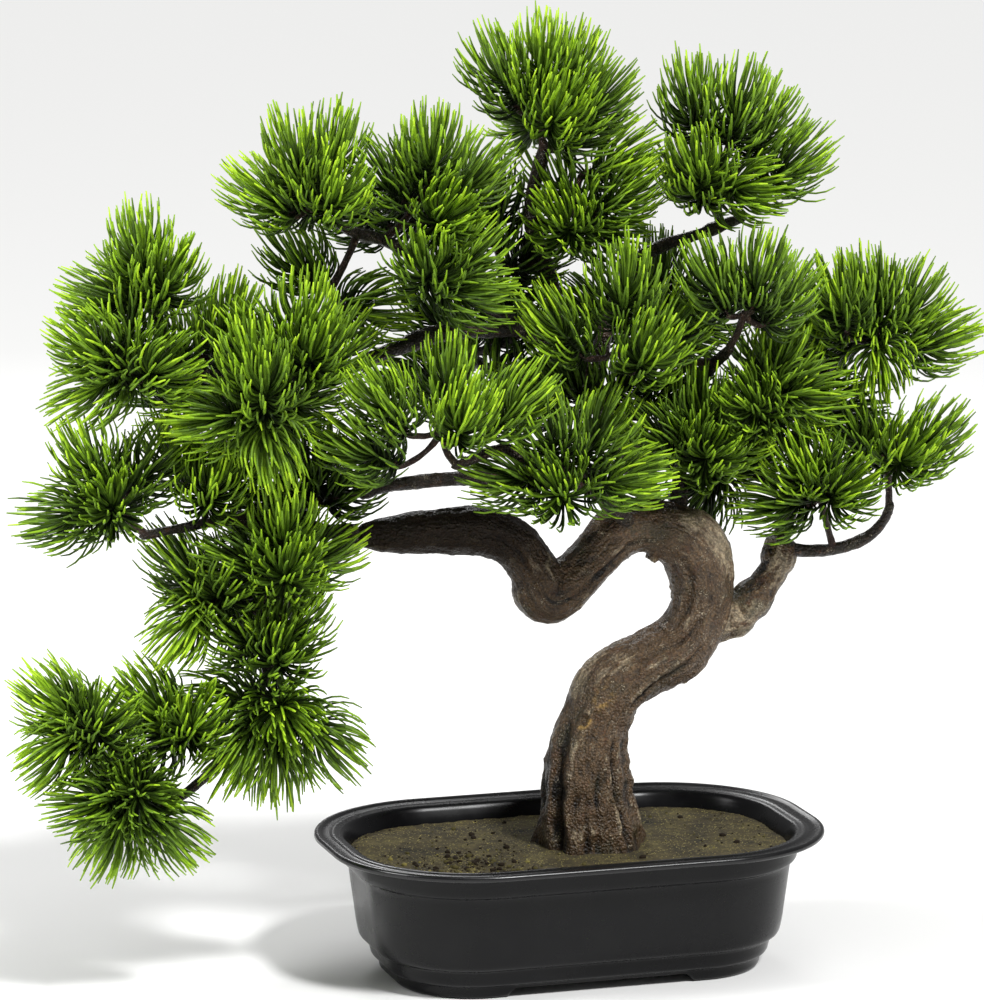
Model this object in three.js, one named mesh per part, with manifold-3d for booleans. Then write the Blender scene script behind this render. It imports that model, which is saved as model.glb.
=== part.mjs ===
// An artificial pine bonsai: a moulded, leaning trunk with a bough that dips and rises, thin
// boughs, and tufts of needles on forking twigs, set in filler in a shallow oval plastic bowl.
// Millimetres, +Z up, the bowl's long side along X. The plan below is measured from the middle
// of the bowl's underside, and the group is then set so that the bottom centre of the whole
// plant's bounding box is the origin.
import * as THREE from "three";
import { mergeVertices } from "three/addons/utils/BufferGeometryUtils.js";
import Module from "manifold-3d";

const wasm = await Module();
wasm.setup();

// Driving dimensions

const GAP = 0.3; // clearance between neighbouring pieces
const HALF_GAP = GAP / 2;
const GROWN_BY = 1.4 * GAP; // a limb's radius grown so that its facets clear by the gap
const WELD = 1e-4; // points closer than this are one

const BOWL = {
  halfLength: 143,
  halfWidth: 95,
  cornerRadius: 80,
  height: 79,
  floorTop: 8, // inside floor
  cornerSteps: 6, // facets in each rounded corner
  notchHeight: 5, // the gap between the two feet
  notchHalfTop: 50,
  notchHalfBottom: 55,
};
// Each profile point is how far the wall stands in from the rim's outline, and its height.
const BOWL_OUTSIDE = [
  [39, 0], [36.6, 1.6], [36.1, 6.6], // foot
  [31.6, 8.6], [30, 17], // lower band
  [25.8, 18.6], [24, 23], [19.2, 61.2], // main wall
  [16.4, 62.4], [14.6, 74.4], // collar
  [1.4, 75], [0, 76.6], [1.2, 79], // rolled rim
];
const BOWL_INSIDE = [[16.5, 77], [19.6, 75.4], [21, 70], [22.6, 58], [27.2, 22], [31, 8]];
const SOIL_TOP = 69;
const SOIL_SIDE = [[22.6, 58], [27.2, 22]]; // where it follows the inside wall
const SOIL_FLOOR_INSET = 31;

// The moulded stem, from just under the soil, where it's cut flat, to the end of the left
// bough: x, z and radius.
const STEM = [
  [12.5, 64, 32.5], [11, 84, 28], [9.5, 104, 25.6], [11, 124, 22.6], [16, 141.5, 18.6],
  [25.5, 159, 19.2], [45, 171, 18.4], [65, 181, 18.4], [77.5, 202, 17.2], [76, 223, 17.4],
  [66, 240, 16.2], [46, 250, 14.8], [27, 247, 14.4], [13, 233, 14], [-1, 221, 14.8],
  [-13, 216, 17.6], [-22, 230, 13.6], [-34, 245.5, 13.4], [-50, 253, 13.6], [-72, 254, 13.2],
  [-94, 254, 11.2], [-112, 254, 8.8], [-127, 254, 5],
];
// The stem is moulded in four pieces, parted at these stations.
const STEM_PIECES = [
  ["trunk", 0, 8],
  ["left_bough_crest", 8, 13],
  ["left_bough_dip", 13, 17],
  ["left_bough_arm", 17, 22],
];
const STEM_SIDES = 12;
const STEM_STEPS = 2; // rings between two stations
const FLARE = { lobes: 5, depth: 0.13, turn: 0.6, height: 34 }; // root flare at the foot

// The other boughs: the limb that carries each, its route from inside that limb to its own tip,
// and its first and last radius.
const BOUGHS = {
  right_bough: {
    host: "trunk",
    route: [[76, 0, 188], [96, 0, 196], [107, 0, 204], [117, 0, 215], [124, 0, 229], [127, 0, 240]],
    radii: [11.8, 7.8],
  },
  crown_bough: {
    host: "left_bough_crest",
    route: [[50, 4, 250], [50, 22, 274], [28, 25, 316], [4, 20, 348], [-28, 15, 367]],
    radii: [8, 5.2],
  },
  apex_bough: {
    host: "crown_bough",
    route: [[10, 22, 341], [-8, 16, 392], [-20, 11, 432], [-14, 5, 466]],
    radii: [5.2, 3.2],
  },
  upper_left_bough: {
    host: "crown_bough",
    route: [[-20, 16, 362], [-64, 12, 388], [-100, 6, 414], [-130, 2, 424]],
    radii: [4.8, 2.8],
  },
  left_high_bough: {
    host: "crown_bough",
    route: [
      [-22, 16, 364], [-78, 14, 362], [-130, 8, 346], [-172, 6, 346], [-210, 4, 347], [-236, 2, 352],
    ],
    radii: [5, 2.6],
  },
  rod_bough: {
    host: "left_bough_crest",
    route: [[38, 10, 252], [18, 16, 276], [-39, 10, 282], [-98, 6, 281], [-122, 6, 277]],
    radii: [5.6, 3.4],
  },
  left_reach_bough: {
    host: "left_bough_arm",
    route: [[-122, 0, 254], [-157, 2, 261], [-194, 2, 267], [-224, 2, 264], [-248, 0, 261]],
    radii: [4.6, 2.4],
  },
  hanging_bough: {
    host: "left_bough_arm",
    route: [[-121, 0, 253], [-140, 4, 240], [-160, 4, 222], [-172, 4, 198], [-176, 2, 176]],
    radii: [4.8, 3],
  },
  low_bough: {
    host: "hanging_bough",
    route: [[-175, 2, 181], [-184, 8, 160], [-203, 2, 132], [-225, -2, 114], [-241, -6, 109]],
    radii: [3.2, 2.2],
  },
  upper_right_bough: {
    host: "crown_bough",
    route: [[22, 24, 322], [30, 22, 366], [48, 14, 402], [76, 4, 414], [103, -2, 424]],
    radii: [4.8, 2.8],
  },
  right_front_bough: {
    host: "left_bough_crest",
    route: [[64, 4, 244], [69, 14, 276], [71, 12, 312], [78, -10, 340], [83, -34, 356]],
    radii: [5, 2.8],
  },
  right_far_bough: {
    host: "right_bough",
    route: [[124, 0, 232], [136, 10, 268], [144, 14, 306], [156, 10, 334], [170, 6, 344]],
    radii: [5, 3],
  },
  right_low_bough: {
    host: "right_bough",
    route: [[124, 0, 233], [148, -8, 232], [170, -16, 239], [180, -20, 250], [184, -22, 262]],
    radii: [4, 2.4],
  },
  front_bough: {
    host: "left_bough_crest",
    route: [[36, -4, 251], [8, -30, 274], [-24, -42, 292], [-54, -46, 306], [-84, -46, 298]],
    radii: [4.8, 2.6],
  },
};
const BOUGH_SIDES = 6;
const BOUGH_STEPS = 2;

// The masses of needles. Each has its hub, where its twigs part, and its reach from the hub to
// the tufts' middles along X, Y and Z. Root is the share of the host's length where the mass's
// twig leaves it, if not at the place nearest the hub. A fan of tufts runs round the hub from
// one angle to another in the XZ plane. One tuft may stand in front of the hub, at a step
// along X and Z and with a lift of its own, and one behind it. Lift is how far the tufts turn up.
// More tufts have their whole step from the hub and their lift written out.
const MASSES = {
  apex: {
    host: "apex_bough", hub: [-17, 4, 484], reach: [36, 20, 35],
    fan: [130, -28, 5], front: [2, -6, 0.9], back: true, lift: 0.55,
  },
  upper_right: {
    host: "upper_right_bough", hub: [78, -5, 438], reach: [54, 24, 56],
    fan: [98, 18, 4], front: [-14, 12, 0.6], back: true, lift: 0.35,
    more: [[16, -25, 4, -0.1]],
  },
  mid_upper: {
    host: "apex_bough", hub: [6, 5, 430], reach: [32, 26, 24],
    fan: [112, -45, 3], front: [-17, -8], back: false, lift: 0.3,
    more: [[26, 0, 30, -0.45]],
  },
  upper_centre: {
    host: "upper_left_bough", hub: [-88, -15, 447], reach: [33, 24, 26],
    fan: [160, 16, 3], front: [2, -20], back: false, lift: 0.5,
  },
  centre_left: {
    host: "upper_left_bough", hub: [-90, -30, 402], reach: [30, 20, 18],
    fan: [35, -35, 2], front: [-8, 0], back: false, lift: 0.3,
  },
  inner_top: {
    host: "apex_bough", hub: [-33, 25, 396], reach: [18, 18, 38],
    fan: [100, -80, 3], front: null, back: false, lift: 0.3,
  },
  upper_left: {
    host: "upper_left_bough", hub: [-150, -8, 443], reach: [28, 24, 32],
    fan: [172, 62, 3], front: [6, 0], back: true, lift: 0.5,
  },
  upper_left_low: {
    host: "upper_left_bough", hub: [-133, 15, 393], reach: [26, 18, 22],
    fan: [140, -40, 2], front: null, back: false, lift: 0.5,
  },
  left_upper: {
    host: "left_high_bough", hub: [-164, -20, 362], reach: [29, 24, 22],
    fan: [160, 5, 3], front: [4, -4, 0.8], back: false, lift: 0.6,
  },
  left_star: {
    host: "left_high_bough", hub: [-186, -32, 338], reach: [33, 24, 27],
    fan: [200, -85, 4], front: [-4, 8], back: false, lift: 0.2,
  },
  far_left_top: {
    host: "left_high_bough", root: 0.9, hub: [-240, 5, 394], reach: [25, 22, 28],
    fan: [186, 102, 2], front: [6, 6, 0.6], back: true, lift: 0.4,
  },
  far_left_mid: {
    host: "left_high_bough", root: 1, hub: [-254, -4, 359], reach: [28, 22, 27],
    fan: [222, 84, 3], front: [12, -8], back: true, lift: 0.2,
  },
  left_top_right: {
    host: "left_high_bough", hub: [-209, 8, 357], reach: [28, 22, 27],
    fan: [150, 60, 2], front: null, back: false, lift: 0.6,
  },
  left_mid: {
    host: "left_reach_bough", hub: [-262, 0, 285], reach: [32, 24, 28],
    fan: [206, 32, 3], front: [-6, -8, 0.5], back: true, lift: 0.25,
  },
  left_mid_right: {
    host: "left_reach_bough", hub: [-211, 12, 283], reach: [26, 24, 26],
    fan: [122, 45, 2], front: [0, -2], back: false, lift: 0.6,
  },
  hang_top: {
    host: "hanging_bough", hub: [-172, -18, 247], reach: [28, 24, 22],
    fan: [176, 4, 3], front: [-4, -10], back: false, lift: 0.3,
  },
  hang_left: {
    host: "hanging_bough", hub: [-207, 2, 227], reach: [25, 20, 26],
    fan: [132, 228, 2], front: [4, 0], back: true, lift: 0.1,
  },
  hang_mid: {
    host: "hanging_bough", hub: [-180, -16, 198], reach: [26, 22, 25],
    fan: [146, 54, 2], front: [2, -8], back: false, lift: 0.3,
  },
  hang_low: {
    host: "low_bough", hub: [-174, -10, 158], reach: [34, 22, 30],
    fan: [165, 325, 4], front: [0, 2], back: true, lift: -0.35,
  },
  low_left: {
    host: "low_bough", root: 0.78, hub: [-278, 2, 156], reach: [23, 22, 22],
    fan: [140, 214, 2], front: [4, 0], back: true, lift: 0.05,
  },
  low_mid: {
    host: "low_bough", hub: [-225, 4, 151], reach: [25, 22, 20],
    fan: [132, 212, 2], front: [4, 0], back: true, lift: 0.1,
  },
  low_tail: {
    host: "low_bough", root: 1, hub: [-255, -8, 113], reach: [28, 22, 24],
    fan: [100, 318, 4], front: [0, 4], back: true, lift: -0.1,
  },
  front_left: {
    host: "front_bough", hub: [-90, -50, 320], reach: [50, 22, 31],
    fan: [195, 28, 4], front: [6, 2, 0.9], back: false, lift: 0.6,
  },
  left_dark: {
    host: "rod_bough", hub: [-145, 12, 273], reach: [30, 20, 22],
    fan: [205, 35, 4], front: null, back: false, lift: 0.2,
  },
  front_centre: {
    host: "front_bough", hub: [-18, -52, 294], reach: [37, 24, 30],
    fan: [182, -12, 4], front: [-14, -12], back: false, lift: 0.3,
  },
  right_front: {
    host: "right_front_bough", root: 0.8, hub: [18, -32, 356], reach: [41, 26, 40],
    fan: [155, 22, 3], front: [6, -6, 1], back: false, lift: 0.6,
  },
  right_mid: {
    host: "right_front_bough", root: 1, hub: [87, -42, 375], reach: [30, 22, 26],
    fan: [128, 22, 3], front: null, back: false, lift: 0.6,
  },
  right_far: {
    host: "right_far_bough", hub: [183, 2, 351], reach: [39, 24, 27],
    fan: [148, -5, 4], front: [-33, 24, 1.2], back: true, lift: 0.35,
    more: [[-6, -20, -8, -0.5]],
  },
  right_under: {
    host: "right_far_bough", hub: [110, -18, 325], reach: [26, 24, 28],
    fan: [62, -62, 3], front: [-20, -6], back: false, lift: 0.1,
  },
  right_inner: {
    host: "right_front_bough", hub: [68, -20, 298], reach: [28, 20, 24],
    fan: [165, 10, 3], front: [0, -8], back: false, lift: 0.3,
  },
  right_end: {
    host: "right_low_bough", hub: [181, -20, 286], reach: [31, 24, 25],
    fan: [135, 28, 2], front: [4, 0, 0.5], back: true, lift: 0.45,
  },
  right_low: {
    host: "right_low_bough", hub: [141, -20, 270], reach: [27, 24, 25],
    fan: [200, 62, 3], front: [6, -2, 0.4], back: false, lift: 0.3,
  },
  inner_right: {
    host: "right_far_bough", hub: [97, 22, 279], reach: [26, 22, 26],
    fan: [248, 20, 4], front: null, back: false, lift: 0.2,
  },
  inner_centre: {
    host: "crown_bough", hub: [20, 10, 318], reach: [48, 20, 22],
    fan: [168, 5, 4], front: null, back: false, lift: 0.3,
  },
  back_left: {
    host: "left_high_bough", hub: [-178, 48, 332], reach: [42, 22, 34],
    fan: [178, -48, 4], front: null, back: true, lift: 0.2,
  },
  back_top: {
    host: "upper_left_bough", hub: [-76, 40, 425], reach: [40, 20, 26],
    fan: [170, 10, 3], front: null, back: true, lift: 0.3,
  },
  back_centre: {
    host: "crown_bough", hub: [-40, 54, 345], reach: [42, 22, 34],
    fan: [205, -25, 4], front: null, back: true, lift: 0.3,
  },
  back_right: {
    host: "upper_right_bough", hub: [66, 50, 362], reach: [42, 22, 28],
    fan: [172, 8, 3], front: null, back: true, lift: 0.4,
    more: [[12, -20, -12, 0.2]],
  },
  back_far_right: {
    host: "right_far_bough", hub: [148, 44, 314], reach: [34, 22, 30],
    fan: [205, -20, 4], front: null, back: true, lift: 0.3,
  },
  back_hang: {
    host: "hanging_bough", hub: [-170, 32, 222], reach: [24, 20, 32],
    fan: [95, 265, 3], front: null, back: true, lift: 0.1,
  },
};
const SWAY = 0.25; // how far a fan's tufts step forward and back in turn, as a share of the reach

// One tuft: a slim stalk with whorls of broad needles, and one last needle that carries it on.
// A needle's lean from the axis falls from the stalk's foot to its top.
const TUFT = {
  middle: 28.5, // from the tuft's foot to its middle
  stalk: 24,
  needleLength: 30,
  lowestRoot: 0.12, // as a share of the stalk
  footLean: 88, // degrees
  topLean: 6,
  leanPower: 0.75,
  curl: 9, // how far each quarter of a needle turns back to the axis
  neckRadius: 2.1, // of the stalk above a whorl
  neckStep: 3.4, // from a whorl's roots to its neck
  space: 27, // radius of the space a tuft holds
};
const WHORLS = [
  { share: 0.1, count: 5, rootRadius: 4.2, turn: 0 },
  { share: 0.55, count: 4, rootRadius: 3.3, turn: Math.PI / 4 },
];
const JITTER = 0.35; // radians
const TWIG = { sides: 3, stemRadius: 2.4, forkRadius: 1.9, endRadius: 1.5, knobRadius: 4.2, space: 5 };
const NEEDLE_CLEAR = 1.5; // from the middle of a needle to a limb or to another mass's space
const SISTER_CLEAR = 1; // to the space of another tuft of the same mass
const FUSED_DETAIL = 0.15; // slivers finer than this are smoothed away where needles are fused
const CUT_DETAIL = 0.01;

const COLOURS = {
  bowl: ["#1f2022", 0.42],
  soil: ["#4a4426", 0.95],
  bark: ["#5a4633", 0.85],
  twig: ["#33261c", 0.8],
  needles: ["#4f8a22", 0.6],
  innerNeedles: ["#2f5a1e", 0.65],
};

// Solids

function solidOf(geometry) {
  const bare = geometry.clone();
  bare.deleteAttribute("normal");
  bare.deleteAttribute("uv");
  const merged = mergeVertices(bare, WELD);
  return new wasm.Manifold(
    new wasm.Mesh({
      numProp: 3,
      vertProperties: merged.attributes.position.array,
      triVerts: new Uint32Array(merged.index.array),
    }),
  );
}

function geometryOf(solid) {
  const mesh = solid.getMesh();
  const geometry = new THREE.BufferGeometry();
  geometry.setAttribute("position", new THREE.BufferAttribute(mesh.vertProperties, 3));
  geometry.setIndex(new THREE.BufferAttribute(mesh.triVerts, 1));
  geometry.computeVertexNormals();
  return geometry;
}

function largestBody(solid) {
  const bodies = solid.decompose();
  return bodies.reduce((best, body) => (body.volume() > best.volume() ? body : best));
}

function boxesMeet(a, b) {
  const p = a.boundingBox();
  const q = b.boundingBox();
  return [0, 1, 2].every((i) => p.min[i] <= q.max[i] && q.min[i] <= p.max[i]);
}

// What is left of a solid once its neighbours, already grown by the gap, are cut out of it.
function cutClear(solid, neighbours) {
  const left = neighbours
    .filter((other) => boxesMeet(solid, other))
    .reduce((rest, other) => rest.subtract(other), solid);
  return largestBody(left.simplify(CUT_DETAIL));
}

// The faces between two neighbouring rings, which may differ in how many points they hold.
function stitch(points, [startA, countA], [startB, countB]) {
  const faces = [];
  const a = (i) => startA + (i % countA);
  const b = (j) => startB + (j % countB);
  let i = countA === 1 ? 1 : 0;
  let j = countB === 1 ? 1 : 0;
  while (i < countA || j < countB) {
    const lead = (i + 1) / countA - (j + 1) / countB;
    const acrossA = points[a(i + 1)].distanceTo(points[b(j)]);
    const acrossB = points[a(i)].distanceTo(points[b(j + 1)]);
    const leads = Math.abs(lead) < 1e-9 ? acrossA < acrossB : lead < 0;
    const canStepA = i < countA && countA > 1;
    const mustStepA = j === countB || countB === 1;
    if (canStepA && (mustStepA || leads)) faces.push(a(i), a(++i), b(j));
    else faces.push(a(i), b(j + 1), b(j++));
  }
  return faces;
}

// A closed skin over a run of rings, with a fan of faces over each open end.
function loft(rings) {
  const points = rings.flat();
  const faces = [];
  let start = 0;
  for (let r = 0; r + 1 < rings.length; r++) {
    const next = start + rings[r].length;
    faces.push(...stitch(points, [start, rings[r].length], [next, rings[r + 1].length]));
    start = next;
  }
  for (let k = 1; k + 1 < rings[0].length; k++) faces.push(0, k + 1, k);
  for (let k = 1; k + 1 < rings.at(-1).length; k++) faces.push(start, start + k, start + k + 1);
  const geometry = new THREE.BufferGeometry().setFromPoints(points);
  geometry.setIndex(faces);
  return geometry;
}

// Rings of a round limb along a curve, each turned on from the last with no twist.
function sweepRings({ curve, radiusAt, from = 0, to = 1, steps, sides, ends = 0 }) {
  const rings = [];
  let side = new THREE.Vector3(0, 1, 0);
  for (let i = 0; i <= steps; i++) {
    const t = from + ((to - from) * i) / steps;
    const along = curve.getTangent(t);
    side = side.clone().addScaledVector(along, -side.dot(along)).normalize();
    const other = new THREE.Vector3().crossVectors(along, side);
    const middle = curve.getPoint(t);
    if (i === 0) middle.addScaledVector(along, -ends);
    if (i === steps) middle.addScaledVector(along, ends);
    const ring = [];
    for (let k = 0; k < sides; k++) {
      const angle = (2 * Math.PI * k) / sides;
      const radius = radiusAt(t, angle);
      ring.push(
        middle
          .clone()
          .addScaledVector(side, radius * Math.cos(angle))
          .addScaledVector(other, radius * Math.sin(angle)),
      );
    }
    rings.push(ring);
  }
  return rings;
}

const toVector = (numbers) => new THREE.Vector3(...numbers);

// The bowl and its filler

function ovalRing(inset, height) {
  const { halfLength, halfWidth, cornerRadius, cornerSteps } = BOWL;
  const radius = cornerRadius - inset;
  const x = halfLength - cornerRadius;
  const y = halfWidth - cornerRadius;
  const corners = [[x, y], [-x, y], [-x, -y], [x, -y]];
  const ring = [];
  corners.forEach(([cx, cy], corner) => {
    for (let k = 0; k <= cornerSteps; k++) {
      const angle = (Math.PI / 2) * (corner + k / cornerSteps);
      ring.push(new THREE.Vector3(cx + radius * Math.cos(angle), cy + radius * Math.sin(angle), height));
    }
  });
  return ring;
}

function makeBowl() {
  const profile = [...BOWL_OUTSIDE, ...BOWL_INSIDE];
  const shell = solidOf(loft(profile.map(([inset, height]) => ovalRing(inset, height))));
  const { notchHalfBottom, notchHalfTop, notchHeight, halfWidth } = BOWL;
  const outline = new THREE.Shape([
    new THREE.Vector2(-notchHalfBottom - 1, -1),
    new THREE.Vector2(notchHalfBottom + 1, -1),
    new THREE.Vector2(notchHalfTop, notchHeight),
    new THREE.Vector2(-notchHalfTop, notchHeight),
  ]);
  const notch = new THREE.ExtrudeGeometry(outline, { depth: 2 * halfWidth, bevelEnabled: false });
  notch.rotateX(Math.PI / 2);
  notch.translate(0, halfWidth, 0);
  return shell.subtract(solidOf(notch));
}

function makeSoil() {
  const clear = GROWN_BY;
  const edge = BOWL_INSIDE[2][0] + clear;
  return solidOf(
    loft([
      ovalRing(SOIL_FLOOR_INSET + clear, BOWL.floorTop + GAP),
      ...SOIL_SIDE.toReversed().map(([inset, height]) => ovalRing(inset + clear, height)),
      ovalRing(edge + 0.3, SOIL_TOP - 0.4),
      ovalRing(edge + 2, SOIL_TOP),
    ]),
  );
}

// The limbs

function stationed(values) {
  const last = values.length - 1;
  return (t) => {
    const place = Math.min(Math.max(t, 0), 1) * last;
    const low = Math.min(Math.floor(place), last - 1);
    return THREE.MathUtils.lerp(values[low], values[low + 1], place - low);
  };
}

const stemCurve = new THREE.CatmullRomCurve3(STEM.map(([x, z]) => new THREE.Vector3(x, 0, z)));
const stemRadius = stationed(STEM.map(([, , radius]) => radius));

function flaredRadius(t, angle) {
  const height = stemCurve.getPoint(t).z - SOIL_TOP;
  const fade = THREE.MathUtils.clamp(1 - height / FLARE.height, 0, 1);
  return stemRadius(t) * (1 + FLARE.depth * fade * Math.cos(FLARE.lobes * angle + FLARE.turn));
}

// A limb as its solid, the same solid grown by the gap, and round samples down its middle.
function makeLimb(options) {
  const grow = (by) => (t, angle) => options.radiusAt(t, angle) + by;
  const solid = solidOf(loft(sweepRings({ ...options, ends: -HALF_GAP })));
  const grown = solidOf(loft(sweepRings({ ...options, radiusAt: grow(GROWN_BY), ends: GAP })));
  const samples = [];
  const count = 2 * options.steps;
  for (let i = 0; i <= count; i++) {
    const t = options.from + ((options.to - options.from) * i) / count;
    samples.push({ point: options.curve.getPoint(t), radius: options.radiusAt(t, 0) });
  }
  return { solid, grown, samples };
}

const limbs = {};

const stemLast = STEM.length - 1;
for (const [name, first, last] of STEM_PIECES) {
  limbs[name] = makeLimb({
    curve: stemCurve,
    radiusAt: flaredRadius,
    from: first / stemLast,
    to: last / stemLast,
    steps: (last - first) * STEM_STEPS,
    sides: STEM_SIDES,
  });
}
limbs.trunk.solid = limbs.trunk.solid.trimByPlane([0, 0, 1], SOIL_TOP + GAP);

for (const [name, { route, radii }] of Object.entries(BOUGHS)) {
  const limb = makeLimb({
    curve: new THREE.CatmullRomCurve3(route.map(toVector)),
    radiusAt: (t) => THREE.MathUtils.lerp(radii[0], radii[1], t),
    from: 0,
    to: 1,
    steps: (route.length - 1) * BOUGH_STEPS,
    sides: BOUGH_SIDES,
  });
  const neighbours = Object.values(limbs).map((other) => other.grown);
  limb.solid = cutClear(limb.solid, neighbours);
  limbs[name] = limb;
}

const limbSamples = Object.values(limbs).flatMap((limb) => limb.samples);

// How far a point lies outside the nearest limb.
function limbClearance(point) {
  return Math.min(...limbSamples.map(({ point: p, radius }) => p.distanceTo(point) - radius));
}

// The masses of needles

function seededNumbers(seed) {
  let state = seed >>> 0;
  return () => {
    state = (Math.imul(state, 1664525) + 1013904223) >>> 0;
    return state / 4294967296;
  };
}

// A tuft's middle, axis and foot, from its step away from the hub.
function tuftAt(hub, step, lift) {
  const axis = step.clone().normalize();
  axis.z += lift;
  axis.normalize();
  const middle = hub.clone().add(step);
  const level = new THREE.Vector3(0, 1, 0);
  if (Math.abs(axis.y) > 0.7) level.set(0, 0, 1);
  const side = new THREE.Vector3().crossVectors(level, axis).normalize();
  const other = new THREE.Vector3().crossVectors(axis, side);
  return { middle, axis, side, other, foot: middle.clone().addScaledVector(axis, -TUFT.middle) };
}

// A tuft at the front turns up, or on a hanging mass down, by more than the others do.
const frontLiftOf = (lift) => 0.6 * lift + (lift > 0 ? 0.5 : -0.2);

function tuftsOf({ hub, reach, fan, front, back, lift, more = [] }) {
  const centre = toVector(hub);
  const [firstAngle, lastAngle, count] = fan;
  const tufts = [];
  for (let k = 0; k < count; k++) {
    const angle = THREE.MathUtils.degToRad(firstAngle + ((lastAngle - firstAngle) * k) / (count - 1));
    const sway = (k % 2 ? -SWAY : SWAY) * reach[1];
    const step = new THREE.Vector3(reach[0] * Math.cos(angle), sway, reach[2] * Math.sin(angle));
    tufts.push(tuftAt(centre, step, lift));
  }
  if (front) {
    const [x, z, frontLift = frontLiftOf(lift)] = front;
    tufts.push(tuftAt(centre, new THREE.Vector3(x, -reach[1], z + 6), frontLift));
  }
  if (back) tufts.push(tuftAt(centre, new THREE.Vector3(0, reach[1], front ? front[1] : 0), 0.6 * lift));
  for (const [x, y, z, ownLift] of more) tufts.push(tuftAt(centre, new THREE.Vector3(x, y, z), ownLift));
  return tufts;
}

// Where a mass's twig leaves its host limb: at a share of the limb's length, or nearest the hub.
function rootOn({ samples }, share, hub) {
  if (share !== undefined) return samples[Math.round(share * (samples.length - 1))].point;
  const gap = (sample) => sample.point.distanceTo(hub);
  return samples.reduce((best, sample) => (gap(sample) < gap(best) ? sample : best)).point;
}

const plans = Object.entries(MASSES).map(([name, mass], index) => {
  const hub = toVector(mass.hub);
  const root = rootOn(limbs[mass.host], mass.root, hub);
  return { name, index, hub, root, tufts: tuftsOf(mass) };
});

// The space of each mass is made of the points that are nearest, by power distance, to one of
// its own tufts or twigs.
const sites = plans.flatMap(({ index, hub, root, tufts }) => {
  const site = (point, radius, tuft = null) => ({ index, tuft, point, power: radius * radius });
  const twigSites = [0.25, 0.5, 0.75, 1].map((t) => site(root.clone().lerp(hub, t), TWIG.space));
  const tuftSites = tufts.flatMap((tuft) => [
    site(tuft.middle, TUFT.space, tuft),
    site(tuft.foot, 2 * TWIG.space, tuft),
    site(tuft.foot.clone().lerp(hub, 0.5), TWIG.space),
  ]);
  return [...twigSites, ...tuftSites];
});

// Whether a point keeps to the space of its own mass and of its own tuft.
function keepsToSpace(point, index, tuft) {
  const nearest = {};
  for (const site of sites) {
    const power = point.distanceToSquared(site.point) - site.power;
    const side = site.index !== index ? "other" : site.tuft && site.tuft !== tuft ? "sister" : "own";
    if (!nearest[side] || power < nearest[side].power) nearest[side] = { power, middle: site.point };
  }
  const { own, sister, other } = nearest;
  const clearOf = (rival, clear) =>
    !rival || rival.power - own.power > 2 * clear * own.middle.distanceTo(rival.middle);
  return clearOf(other, NEEDLE_CLEAR) && clearOf(sister, SISTER_CLEAR);
}

function keepsClear(root, tip, index, tuft) {
  return [0.3, 0.5, 0.75, 1].every((t) => {
    const point = root.clone().lerp(tip, t);
    return keepsToSpace(point, index, tuft) && limbClearance(point) > NEEDLE_CLEAR;
  });
}

// The point at some height up a tuft's axis, out to one side of it.
function aboutAxis({ foot, axis, side, other }, height, radius, turn) {
  return foot
    .clone()
    .addScaledVector(axis, height)
    .addScaledVector(side, radius * Math.cos(turn))
    .addScaledVector(other, radius * Math.sin(turn));
}

const rootHeight = (share) => TUFT.stalk * (TUFT.lowestRoot + (1 - TUFT.lowestRoot) * share);

// The tip of a needle, which curls back to the axis on its way out.
function needleTip(tuft, share, turn) {
  let lean = THREE.MathUtils.degToRad(TUFT.footLean * (1 - share) ** TUFT.leanPower + TUFT.topLean);
  let height = rootHeight(share);
  let radius = 0;
  for (let quarter = 0; quarter < 4; quarter++) {
    height += (TUFT.needleLength / 4) * Math.cos(lean);
    radius += (TUFT.needleLength / 4) * Math.sin(lean);
    lean = Math.max(0, lean - THREE.MathUtils.degToRad(TUFT.curl));
  }
  return aboutAxis(tuft, height, radius, turn);
}

// A whorl as one toothed ring: a needle's tip, or the middle of its roots where it's skipped,
// and the roots between two needles, in turn.
function whorlRing(tuft, { share, count, rootRadius, turn }, height, index, random) {
  const foot = aboutAxis(tuft, height, 0, 0);
  const half = Math.PI / count;
  const rootsAt = (k) => aboutAxis(tuft, height + 0.8, rootRadius, turn + (2 * k + 1) * half);
  const ring = [];
  let kept = 0;
  for (let k = 0; k < count; k++) {
    const tip = needleTip(tuft, share, turn + 2 * k * half + JITTER * (random() - 0.5));
    const keeps = keepsClear(foot, tip, index, tuft);
    if (keeps) kept++;
    ring.push(keeps ? tip : rootsAt(k - 1).lerp(rootsAt(k), 0.5), rootsAt(k));
  }
  return kept ? ring : null;
}

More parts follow.
